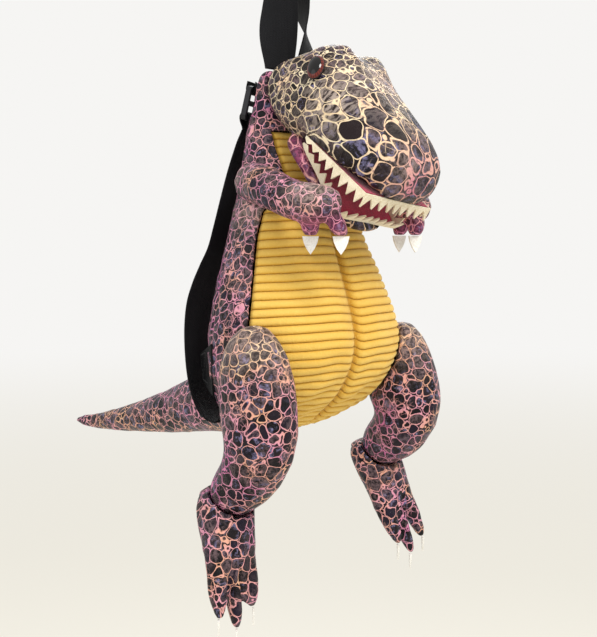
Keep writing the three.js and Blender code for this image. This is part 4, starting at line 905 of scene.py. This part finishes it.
# %% Lips and cheeks
def lipped(obj, node, teeth, drop):
    """Lower the lip over the roots of the teeth. A point outside the line of the roots moves by the
    drop times a bell curve of its height over the mouth's plane."""
    way = np.array([0, 0, -1.0]) if node == "head_upper" else turned(JAW_OPEN, "X") @ [0, 0, 1.0]
    into = np.eye(3) if node == "head_upper" else turned(JAW_OPEN, "X") * [1, 1, -1]
    raise_by = np.zeros(3) if node == "head_upper" else np.array([0, 0, JAW_SINK])
    local = ((points_of(obj) - HEAD_AT) @ HEAD_TURN + raise_by) @ into
    roots = ((points_of(NODES[teeth]) - HEAD_AT) @ HEAD_TURN + raise_by) @ into
    roots = roots[roots[:, 2] > roots[:, 2].max() - 0.5 * MM][:, :2]
    centre = np.array([0, -25 * MM])
    nearest = roots[((local[:, None, :2] - roots[None]) ** 2).sum(-1).argmin(1)]
    beyond = ((local[:, :2] - nearest) * unit(nearest - centre)).sum(-1)
    outside = np.clip((beyond + 1.4 * MM) / (1.6 * MM), 0, 1) * np.clip(-local[:, 1] / (5 * MM), 0, 1)
    near = np.exp(-((np.maximum(local[:, 2] - 3 * MM, 0) / (5 * MM)) ** 2)) * (local[:, 2] > -2 * MM)
    set_points(obj, points_of(obj) + (HEAD_TURN @ way) * (drop * MM * near * outside)[:, None])
    evened(obj, 1, 0.25)


def cheeks(obj):
    """The jaw's cloth runs back and up to the corner of the mouth: rear points move back, up and out."""
    local = (points_of(obj) - HEAD_AT) @ HEAD_TURN
    rear = np.clip((local[:, 1] / MM + 34) / 30, 0, 1)
    rear = rear * rear * (3 - 2 * rear) * np.clip(np.abs(local[:, 0]) / (30 * MM), 0, 1)
    local = local + np.stack([np.sign(local[:, 0]) * 2.5 * rear, 14 * rear, 3.5 * rear], 1) * MM
    set_points(obj, HEAD_AT + local @ HEAD_TURN.T)


lipped(bags["head_upper"], "head_upper", "upper_teeth", 3.4)
lipped(bags["lower_jaw"], "lower_jaw", "lower_teeth", 1.5)
cheeks(bags["lower_jaw"])


# %% Toes
def toe_creases(obj, side):
    """A crease between two toes lies on the plane from the point between their claws to the ankle; its
    depth is a bell curve of the distance from that plane and fades halfway up the foot."""
    ankle = ankle_of(side)
    tips = [np.mean(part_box(f"toe_claw_{side}_{toe}"), axis=0) / MM for toe in ("inner", "middle", "outer")]
    for a, b in zip(tips, tips[1:]):
        points, normals = points_of(obj), normals_of(obj)
        start = 0.5 * (a + b)
        along = unit(ankle - start)
        way = unit((b - a) - ((b - a) @ along) * along)
        away = points / MM - start
        share = (away @ along) / np.linalg.norm(ankle - start)
        fade = np.clip((0.66 - share) / 0.22, 0, 1)
        pull = 2.6 * fade * np.exp(-((away @ way) / 1.9) ** 2)
        set_points(obj, points - normals * (pull * MM)[:, None])
    evened(obj, 1, 0.3)


for side in SIDES:
    toe_creases(bags["foot_" + side], side)

# %% Print on the stuffed pieces
def head_place(x, y, z):
    """A place in the head's own axes, in millimetres, as a place on the bag."""
    return HEAD_AT / MM + HEAD_TURN @ np.array([x, y, z], float)


printed(bags["head_upper"], 0, 0.2, on_head=True,
        zones=[(head_place(0, -80, 25), (50, 26, 50), 0.5)],
        pale=[(head_place(0, -2, 56), (22, 22, 16), 0.9), (head_place(-20, -82, 34), (16, 14, 14), 0.5)],
        streaked=[(head_place(s * 44, -8, 32), (26, 26, 22), 1.0) for s in (-1, 1)]
        + [(head_place(0, -40, 50), (20, 30, 12), 0.8)],
        dark=[(head_place(s * 26, -80, 34), (4, 9, 4), 1.0) for s in (-1, 1)])
printed(bags["lower_jaw"], 0, 0.5, on_head=True,
        blush=[(head_place(s * 42, -12, -12), (18, 26, 18), 1.0) for s in (-1, 1)])
printed(bags["tail"], 9.5 * MM, 0.4, zones=[((0, 120, -350), (30, 50, 30), 0.25)])
for side, sign in SIDES.items():
    low, high = box_mm("arm_" + side)
    hand = np.array([0.5 * (low[0] + high[0]), low[1] + 18, low[2] + 20])
    shoulder = np.array([0.5 * (low[0] + high[0]), high[1] - 12, high[2] - 8])
    printed(bags["arm_" + side], 7.8 * MM, 0.5,
            pale=[(hand + [0, 0, 12], (30, 16, 14), 0.8), (shoulder, (30, 16, 14), 0.7)],
            blush=[(hand - [0, 0, 14], (40, 30, 9), 0.9)])
    low, high = box_mm("leg_" + side)
    hip, knee = (np.array([0.5 * (low[0] + high[0]), 0.5 * (low[1] + high[1]),
                           low[2] + share * (high[2] - low[2])])
                 for share in (0.92, 0.28))
    printed(bags["leg_" + side], 8.8 * MM, 0.38,
            zones=[(hip, (50, 50, 26), -0.25), (knee + [0, 25, 0], (40, 26, 34), 0.6)],
            pale=[(hip, (50, 50, 22), 0.5)])
    printed(bags["foot_" + side], 9.2 * MM, 0.42)
for node, obj in bags.items():
    head = node in ("head_upper", "lower_jaw")
    obj.data.materials.append(head_print if head else body_print)
    rests(obj, "head_print" if head else "scale_print", node)

# %% [markdown]
# ## Webbing
# Straps keep their width and thickness, so they aren't simulated. Each is a rounded band carried
# along a smooth path. Its UV map is in metres, across and along, and the weave follows it.

# %% Bands
def smooth_path(middles, acrosses, per=10):
    """Middles and width directions on a curve through the given stations."""
    table = np.concatenate([middles, acrosses], 1)
    fine = row_at(table, np.linspace(0, 1, per * (len(table) - 1) + 1))
    return fine[:, :3], unit(fine[:, 3:])


def band(name, middles, acrosses, width=WEBBING_WIDTH, thickness=WEBBING):
    """Points of a rounded oblong, AROUND of them to a ring, set square to the path at each station."""
    along = np.gradient(middles, axis=0)
    acrosses = unit(acrosses - (acrosses * unit(along)).sum(-1, keepdims=True) * unit(along))
    face = unit(np.cross(along, acrosses))
    angle = 2 * np.pi * (np.arange(AROUND) + 0.5) / AROUND
    u = power(np.cos(angle), 0.42) * width / 2
    groove = 1 - 0.18 * np.exp(-((np.abs(u) - 0.42 * width) / (0.04 * width)) ** 2)
    v = power(np.sin(angle), 0.55) * thickness / 2 * groove
    rings = middles[:, None] + acrosses[:, None] * u[:, None] + face[:, None] * v[:, None]
    faces = grid_faces(len(middles), AROUND, loop=True).reshape(-1, 4)
    count = len(middles) * AROUND
    points = np.concatenate([rings.reshape(-1, 3), middles[[0, -1]]])
    obj = mesh_from(name, points, faces)
    mesh = obj.data
    ends = bmesh.new()
    ends.from_mesh(mesh)
    ends.verts.ensure_lookup_table()
    for hub, ring in ((count, np.arange(AROUND)), (count + 1, count - AROUND + np.arange(AROUND))):
        for here, following in zip(ring, np.roll(ring, -1)):
            ends.faces.new([ends.verts[int(index)] for index in (hub, here, following)])
    bmesh.ops.recalc_face_normals(ends, faces=ends.faces)
    ends.to_mesh(mesh)
    ends.free()
    mesh.polygons.foreach_set("use_smooth", np.ones(len(mesh.polygons), bool))
    run = run_along(middles)
    u_all = np.concatenate([np.tile(u, len(middles)), [0, 0]])
    v_all = np.concatenate([np.repeat(run, AROUND), run[[0, -1]]])
    uv_from(obj, np.stack([u_all, v_all], 1))
    obj.data.materials.append(webbing)
    print(name, "length mm", round(run[-1] / MM))
    return obj, middles, acrosses, face


def outside_torso(points, clear):
    """Which points are outside the torso: its superellipse, grown, gives more than one."""
    fine = np.linspace(0, 1, 800)
    rows = row_at(TORSO, fine)
    down = (-points[:, 2] - HANDLE_RISE) / TORSO_HEIGHT
    half, mid, deep = (np.interp(down, rows[:, 0], rows[:, k]) for k in (1, 2, 3))
    grown_half = half * TORSO_WIDTH / 2 + clear
    grown_deep = deep * TORSO_DEPTH / 2 + clear
    value = (np.abs(points[:, 0]) / grown_half) ** SQUARENESS
    value += (np.abs(points[:, 1] - mid * TORSO_DEPTH) / grown_deep) ** SQUARENESS
    return (value > 1) | (down < 0) | (down > 1)


# %% Stitching
def stitches(name, points, normals, gauge=0.5, length=2.4, gap=3.2):
    """Rows of small thread ovals along a polyline: each is an 8 by 5 grid, and all are one mesh."""
    points, normals = np.asarray(points), np.asarray(normals)
    run = run_along(points)
    at = np.arange(0.5 * gap * MM, run[-1], gap * MM)
    middle = read_along(at, run, points)
    ahead = unit(read_along(at + 0.3 * MM, run, points) - read_along(at - 0.3 * MM, run, points))
    up = unit(read_along(at, run, normals))
    side = np.cross(ahead, up)
    polar, angle = np.meshgrid(np.linspace(0, np.pi, 5), around(8), indexing="ij")
    shape = np.stack([-np.cos(polar) * length / 2, np.sin(polar) * np.cos(angle) * gauge / 2,
                      np.sin(polar) * np.sin(angle) * gauge / 2], -1).reshape(-1, 3) * MM
    axes = np.stack([ahead, side, up], 1)
    cloud = middle[:, None] + shape @ axes
    faces = grid_faces(5, 8, loop=True).reshape(-1, 4)
    every = (faces[None] + 40 * np.arange(len(at))[:, None, None]).reshape(-1, 4)
    obj = mesh_from(name, cloud, every)
    welded(obj, 1e-7)
    obj.data.materials.append(thread_black)
    return obj


# %% Handle
def handle_stations(steps=80):
    """The loop's middle from one foot over the top to the other, and the band's width direction,
    which turns from across the bag at the feet to along it at the top."""
    seam_y = TORSO[1][2] * TORSO_DEPTH

    def middle(share):
        apart, rise, _ = np.moveaxis(row_at(HANDLE, 1 - np.abs(share)), -1, 0)
        return np.stack([np.sign(share) * apart * HANDLE_SPREAD / 2, seam_y * (1 - np.clip(rise, 0, 1)),
                         (rise - 1) * HANDLE_RISE + WEBBING / 2], -1)

    share = np.linspace(-1, 1, 2 * steps + 1)
    following = np.clip(share + 0.02, -1, 1)
    ahead = unit(middle(following) - middle(np.maximum(following - 0.04, -1)))
    level = np.array([0.0, 1.0, 0.0])
    twist = np.radians(row_at(HANDLE, 1 - np.abs(share))[:, 2])[:, None]
    across = unit(np.cross(ahead, level)) * np.cos(twist) + level * np.sin(twist)
    keep = middle(share)[:, 2] > -HANDLE_RISE + 0.6 * MM
    return middle(share)[keep], across[keep]


handle, *_ = band("webbing_handle", *handle_stations())
rests(handle, "webbing", "handle_loop")


# %% Shoulder straps, tabs and anchors
def buckle_axes(side):
    """Middle of a ladder buckle, and its axes: across the webbing, up along the back, out of its face."""
    turn = -SIDES[side] * np.radians(STRAP[0][3])
    across = np.array([np.cos(turn), np.sin(turn), 0])
    up = np.array(Matrix.Rotation(np.radians(14), 3, Vector(across)) @ Vector((0, 0, 1)))
    middle = np.array([SIDES[side] * 0.115 * TORSO_WIDTH, 0.155 * TORSO_DEPTH,
                       -HANDLE_RISE - 0.085 * TORSO_HEIGHT])
    return middle, across, up, np.cross(up, across)


def fold_round(side, upward, loose):
    """Half a turn round an outer bar of the buckle, with a short doubled end."""
    middle, across, up, face = buckle_axes(side)
    bar = upward * (BUCKLE_HEIGHT / 2 - BUCKLE_BAR / 2)
    radius = np.hypot(BUCKLE_BAR, BUCKLE_THICKNESS) / 2 + GAP + WEBBING / 2
    angle = np.linspace(0, np.pi, 7)
    out = np.append(radius, radius * np.cos(angle))
    rise = np.append(bar + upward * STRAP_DOUBLED, bar - upward * radius * np.sin(angle))
    return middle + np.outer(loose * out, face) + np.outer(rise, up), np.tile(across, (len(out), 1))


def strap_stations(side, share):
    """Middles and width directions of the long strap, read from its table."""
    top = buckle_axes(side)[0][2]
    drop, aside, back, turn = np.moveaxis(row_at(STRAP, share), -1, 0)
    sign = SIDES[side]
    turn = -sign * np.radians(turn)
    middle = np.stack([sign * aside * TORSO_WIDTH, back * TORSO_DEPTH, top - drop * STRAP_DROP], -1)
    return middle, np.stack([np.cos(turn), np.sin(turn), np.zeros_like(turn)], -1)


def trimmed(middles, acrosses, clear=2.4 * MM):
    """The run of stations before the band enters the torso."""
    half = len(middles) // 2
    inside = half + np.flatnonzero(~outside_torso(middles[half:], clear))
    end = inside[0] if len(inside) else len(middles)
    return middles[:end], acrosses[:end]


for side, sign in SIDES.items():
    fold, across = fold_round(side, -1, -1)
    run, turn = strap_stations(side, np.linspace(0, 1, 16))
    middles, acrosses = smooth_path(np.concatenate([fold, run]), np.concatenate([across, turn]))
    strap, middles, acrosses, face = band("webbing_strap_" + side, *trimmed(middles, acrosses))
    rests(strap, "webbing", "strap_" + side)
    centre, across, up, out = buckle_axes(side)
    fold, _ = fold_round(side, 1, 1)
    seam_point = np.array([centre[0], 0, -HANDLE_RISE - TORSO[2][0] * TORSO_HEIGHT / 2])
    leave = centre + out * -BUCKLE_THICKNESS + up * (BUCKLE_HEIGHT / 2 + WEBBING)
    route = np.concatenate([fold, [leave, seam_point]])
    tab, *_ = band("webbing_tab_" + side,
                   *trimmed(*smooth_path(route, np.tile(across, (len(route), 1))), 1.4 * MM))
    rests(tab, "webbing", "strap_tab_" + side)


def anchor(side):
    """A patch between the side seam and the strap: points blend from its base to its end, and a low
    bow keeps the cloth from looking like a plate."""
    sign = SIDES[side]
    turn, places, lift = np.full(2, sign * 0.29), np.array([0.62, 0.72]), np.full(2, 0.9 * MM)
    base, foot = raised(torso, turn, places, lift)
    foot[2] = base[2] - 40 * MM
    middle, across = strap_stations(side, np.array([0.68, 0.76]))
    ahead = unit(middle[1] - middle[0])
    inward = unit(np.cross(across[0], ahead))
    inward = inward * (-1 if inward[1] > 0 else 1)
    ends = middle + inward * (1.5 * WEBBING + SEAM_GAP)
    u, v = np.meshgrid(np.linspace(0, 1, 30), np.linspace(0, 1, 24), indexing="ij")
    high = base + u[..., None] * (ends[0] - base)
    low = foot + u[..., None] * (ends[1] - foot)
    grid = high + v[..., None] * (low - high)
    normal = unit(np.cross(ends[0] - base, [0, 0, 1]))
    grid = grid + normal * (1.6 * MM * np.sin(np.pi * u) * np.sin(np.pi * v))[..., None]
    obj = mesh_from("webbing_anchor_" + side, grid, grid_faces(30, 24).reshape(-1, 4))
    uv_from(obj, np.stack([v.ravel() * 40 * MM, u.ravel() * 60 * MM], 1))
    wall = obj.modifiers.new("webbing", "SOLIDIFY")
    wall.thickness, wall.offset = WEBBING, 0
    soft = obj.modifiers.new("soft edge", "BEVEL")
    soft.width, soft.segments = 0.4 * MM, 2
    baked(obj)
    obj.data.materials.append(webbing)
    rests(obj, "webbing", "strap_anchor_" + side)
    return grid, normal


for side, sign in SIDES.items():
    grid, normal = anchor(side)
    u, v = np.array([(0.5, 0.12), (0.5, 0.88), (0.92, 0.88), (0.92, 0.12), (0.5, 0.12), (0.92, 0.88)]).T
    corners = grid[(u * 29).astype(int), (v * 23).astype(int)]
    for face, name in ((1, "inner"), (-1, "outer")):
        line = corners + face * normal * (WEBBING / 2 + STITCH_LIFT)
        rests(stitches(f"box_stitch_{side}_{name}", line, np.tile(face * normal, (6, 1))), "webbing")
    run, turn = strap_stations(side, np.array([0.045, 0.06]))
    ahead = unit(run[1] - run[0])
    out = unit(np.cross(turn[0], ahead))
    out = out * (1 if out[1] > 0 else -1)
    for k, middle in enumerate(run):
        line = middle + np.outer([-0.42, 0.42], turn[k]) * WEBBING_WIDTH + out * (WEBBING / 2 + STITCH_LIFT)
        rests(stitches(f"strap_stitch_{side}_{k + 1}", line, np.tile(out, (2, 1))), "webbing")

# %% [markdown]
# ## Eyes
# Each eye is a polished dome. Half an ellipse turned about its axis gives the dome, and two
# attributes, the share of the radius and the share of the turn, let the finish draw its rings.

# %% Eyes
def head_form(turn, place):
    """The upper head in its own axes: a superellipse ring with a brow raised over each eye."""
    ahead, half, top, waist, foot = np.moveaxis(row_at(HEAD, place), -1, 0)
    angle = 2 * np.pi * turn
    x = half * HEAD_WIDTH / 2 * power(np.sin(angle), 2 / 2.7)
    up = power(np.cos(angle), 2 / 2.7)
    span = np.where(up > 0, top - waist, waist - foot)
    aside = np.abs(x) / (HEAD_WIDTH / 2)
    fall = ((ahead + 0.2) / 0.11) ** 2 + ((aside - 0.52) / 0.24) ** 2
    brow = np.where(up > 0, 0.16 * up * np.exp(-fall), 0)
    return np.stack([x, -ahead * HEAD_LENGTH, (waist + up * span + brow) * HEAD_HEIGHT], -1)


def eye_seat(sign):
    """Middle of the eye on the head, its outward axis, and how far it stands off the curved cloth."""
    turn, place = np.array(sign * 0.172), np.array(0.385)
    seat = head_form(turn, place)
    out = normal_of(head_form, turn, place)
    angle = around(8)
    rim = head_form(turn + 0.8 * EYE_DIAMETER * np.cos(angle) / (2 * 2.6 * HEAD_WIDTH),
                    place + 0.8 * EYE_DIAMETER * np.sin(angle) / (2 * HEAD_LENGTH))
    return seat, out, max(0.0, float(((rim - seat) @ out).max())) + GAP


for side, sign in SIDES.items():
    seat, out, lift = eye_seat(sign)
    seat, out = HEAD_AT + HEAD_TURN @ seat, HEAD_TURN @ out
    seat = seat - out * 0.6 * MM
    first = unit(np.cross(out, [0, 0, 1]))
    second = np.cross(out, first)
    t, angle = np.meshgrid(np.linspace(0, 1, 22), around(48), indexing="ij")
    radius = np.where(t < 0.08, t / 0.08, np.cos((t - 0.08) / 0.92 * np.pi / 2))
    rise = np.where(t < 0.08, 0, 0.14 + 0.86 * np.sin((t - 0.08) / 0.92 * np.pi / 2))
    # the brow's cloth hides the eye's front and back edges, so it shows as an upright oval
    flat, tall = (share * radius * wave(angle) for share, wave in zip(EYE_OVAL, (np.cos, np.sin)))
    ring = flat[..., None] * first + tall[..., None] * second
    points = seat + out * (lift + 0.8 * rise * EYE_DOME)[..., None] + ring * EYE_DIAMETER / 2
    obj = mesh_from("eye_dome_" + side, points, grid_faces(22, 48, loop=True).reshape(-1, 4))
    note(obj, "radius", radius.ravel())
    note(obj, "ray", angle.ravel() / (2 * np.pi))
    welded(obj, 1e-6)
    obj.data.materials.append(eye_glass)
    rests(obj, "eye", "eye_" + side)

# %% [markdown]
# ## Pieces that stay as solids
# The felt teeth, linings and claws are flat cut shapes, and the buckles are moulded bars, so their
# solids are right as they are. They get their finishes by the names of their solids.

# %% Finishes on the solids
SOLID_FINISH = {
    "upper_teeth": tooth_felt, "lower_teeth": tooth_felt, "mouth_lining_upper": mouth_felt,
    "mouth_lining_lower": mouth_felt, "buckle_right": plastic, "buckle_left": plastic,
}
for node, obj in NODES.items():
    finish = claw_felt if "_claw_" in node else SOLID_FINISH.get(node)
    if finish is not None:
        obj.data.materials.clear()
        obj.data.materials.append(finish)

# %% [markdown]
# ## Zip
# The zip down the back is a woven tape with a nylon coil in the middle. The coil is a row of small
# hoops in step on both sides of the meeting line, and a slider with a pull rests at its top.

# %% Zip
def zip_tape():
    """The tape: a strip of the torso's form 3 mm under its skin, 22 mm wide."""
    place = np.linspace(ZIP_LOW - 0.012, ZIP_HIGH + 0.012, 120)
    across = np.linspace(-1, 1, 15)
    a, p = np.meshgrid(across, place)
    obj = mesh_from("zip_tape", raised(torso, 0.5 + a * 11 * MM / ring_length(p), p,
                                       np.full(p.shape, -2.5 * MM)),
                    grid_faces(*p.shape).reshape(-1, 4))
    run = (p - p.min()) * TORSO_HEIGHT
    uv_from(obj, np.stack([a.ravel() * 11 * MM, run.ravel()], 1))
    wall = obj.modifiers.new("tape", "SOLIDIFY")
    wall.thickness, wall.offset = 0.9 * MM, 1
    return baked(obj)


tape = zip_tape()
tape.data.materials.append(webbing)
rests(tape, "zip", "back_zip")


def zip_coil():
    """Hoops of a 0.8 mm filament: half an oval arch each, alternating left and right of the middle."""
    place = np.linspace(ZIP_LOW + 0.006, ZIP_HIGH - 0.006, 400)
    path = raised(torso, np.full_like(place, 0.5), place, np.full_like(place, -1.7 * MM))
    normal = normal_of(torso, np.full_like(place, 0.5), place)
    run = run_along(path)
    at = np.arange(1 * MM, run[-1] - 1 * MM, 0.85 * MM)
    sign = np.where(np.arange(len(at)) % 2 == 0, 1, -1)
    middle = read_along(at, run, path)
    out = unit(read_along(at, run, normal))
    t, ring = np.meshgrid(np.linspace(0, np.pi, 7), around(5), indexing="ij")
    swing = 1.1 * MM - 1.5 * MM * np.cos(t) + 0.4 * MM * np.cos(t) * np.cos(ring)
    lift = (0.9 * MM + 0.4 * MM * np.cos(ring)) * np.sin(t)
    slide = 0.4 * MM * np.sin(ring)
    side = np.array([1.0, 0, 0])
    down = np.cross(out, side)
    cloud = (middle[:, None, None] + (sign[:, None, None] * swing[None])[..., None] * side
             + out[:, None, None] * lift[None, ..., None] + down[:, None, None] * slide[None, ..., None])
    faces = grid_faces(7, 5, loop=True).reshape(-1, 4)
    every = (faces[None] + 35 * np.arange(len(at))[:, None, None]).reshape(-1, 4)
    obj = mesh_from("zip_coil", cloud, every)
    capped = bmesh.new()
    capped.from_mesh(obj.data)
    bmesh.ops.holes_fill(capped, edges=[e for e in capped.edges if e.is_boundary], sides=6)
    bmesh.ops.recalc_face_normals(capped, faces=capped.faces)
    capped.to_mesh(obj.data)
    capped.free()
    return obj


coil = zip_coil()
coil.data.materials.append(plastic)
rests(coil, "zip")


def slider_part(name, middle, axes, size, square):
    """A rounded block: a superellipsoid with the given half axes; a small power makes it boxy."""
    polar, angle = np.meshgrid(np.linspace(0, np.pi, 15), around(24), indexing="ij")
    shape = np.stack([power(np.sin(polar), square) * power(np.cos(angle), square),
                      power(np.sin(polar), square) * power(np.sin(angle), square),
                      power(np.cos(polar), square)], -1)
    obj = mesh_from(name, middle + (shape * np.array(size) * MM / 2) @ axes,
                    grid_faces(15, 24, loop=True).reshape(-1, 4))
    welded(obj, 1e-6)
    obj.data.materials.append(plastic)
    return rests(obj, "zip")


top = torso(np.array(0.5), np.array(ZIP_LOW + 0.03))
out = normal_of(torso, np.array(0.5), np.array(ZIP_LOW + 0.03))
axes = np.stack([[1.0, 0, 0], np.cross(out, [1.0, 0, 0]), out])
slider_part("zip_slider", top + out * 0.1 * MM, axes, (8, 10, 3.6), 0.35)
slider_part("zip_bridge", top + out * 2.2 * MM, axes, (2.6, 6, 2.4), 0.5)
slider_part("zip_pull", top + out * 2.6 * MM - np.array([0, 0, 13 * MM]), axes, (5.5, 23, 1.4), 0.4)

# %% [markdown]
# ## Camera, light and floor
# The photograph is taken from the animal's front right, a little above its belly. The light is
# soft and comes from high in front, with a weaker fill. The bag hangs at the height of a coat
# hook, so the pale floor is far below it, and the pale room has the floor's brightness.

# %% Camera
camera = bpy.data.objects.new("camera", bpy.data.cameras.new("camera"))
bpy.context.scene.collection.objects.link(camera)
camera.location = (-0.5677, -0.5783, -0.2123)
aim = Vector((-0.0042, -0.0148, -0.282)) - camera.location
camera.rotation_euler = aim.to_track_quat("-Z", "Y").to_euler()
camera.data.sensor_width = 36
camera.data.lens = 1000 / 637 * 36
bpy.context.scene.camera = camera

# %% Light and floor
def soft_light(name, place, target, size, power_watts, colour=(1, 1, 1)):
    data = bpy.data.lights.new(name, "AREA")
    data.shape, data.size, data.energy, data.color = "DISK", size, power_watts, colour
    lamp = bpy.data.objects.new(name, data)
    bpy.context.scene.collection.objects.link(lamp)
    lamp.location = place
    lamp.rotation_euler = (Vector(target) - Vector(place)).to_track_quat("-Z", "Y").to_euler()


MIDDLE, ROOM = (0, 0, -0.28), linear("f6f5f3")
FLOOR_HEIGHT, FLOOR_REACH = -1.3, 30
soft_light("key", (-0.3, -1.2, 1.0), MIDDLE, 0.6, 19, (1, 0.985, 0.96))
soft_light("fill", (-1.4, -0.1, 0.1), MIDDLE, 1.2, 3, (0.97, 0.98, 1))
soft_light("rim", (0.9, 0.7, 0.5), MIDDLE, 0.8, 6)
world = bpy.data.worlds.new("pale room")
world.use_nodes = True
world.node_tree.nodes["Background"].inputs["Color"].default_value = ROOM
world.node_tree.nodes["Background"].inputs["Strength"].default_value = 1.0
bpy.context.scene.world = world
bpy.context.scene.view_settings.view_transform = "Standard"

ways = ((-1, -1), (1, -1), (1, 1), (-1, 1))
floor = mesh_from("floor", [[x * FLOOR_REACH, y * FLOOR_REACH, FLOOR_HEIGHT] for x, y in ways],
                  [[0, 1, 2, 3]])
# far away the floor glows like the room, so that no horizon shows behind the bag
paint, paint_tree, paint_shader = new_finish("pale floor", Roughness=0.9, Specular_IOR_Level=0.0)
paint_shader.inputs["Emission Color"].default_value = ROOM
far = add(paint_tree, "VectorMath", {0: place_on_object(paint_tree)}, operation="LENGTH").outputs["Value"]
far = smooth_step(paint_tree, far, 1.5, 9.0)
paint_tree.links.new(blended(paint_tree, far, linear("efece2"), linear("000000")),
                     paint_shader.inputs["Base Color"])
paint_tree.links.new(far, paint_shader.inputs["Emission Strength"])
floor.data.materials.append(paint)
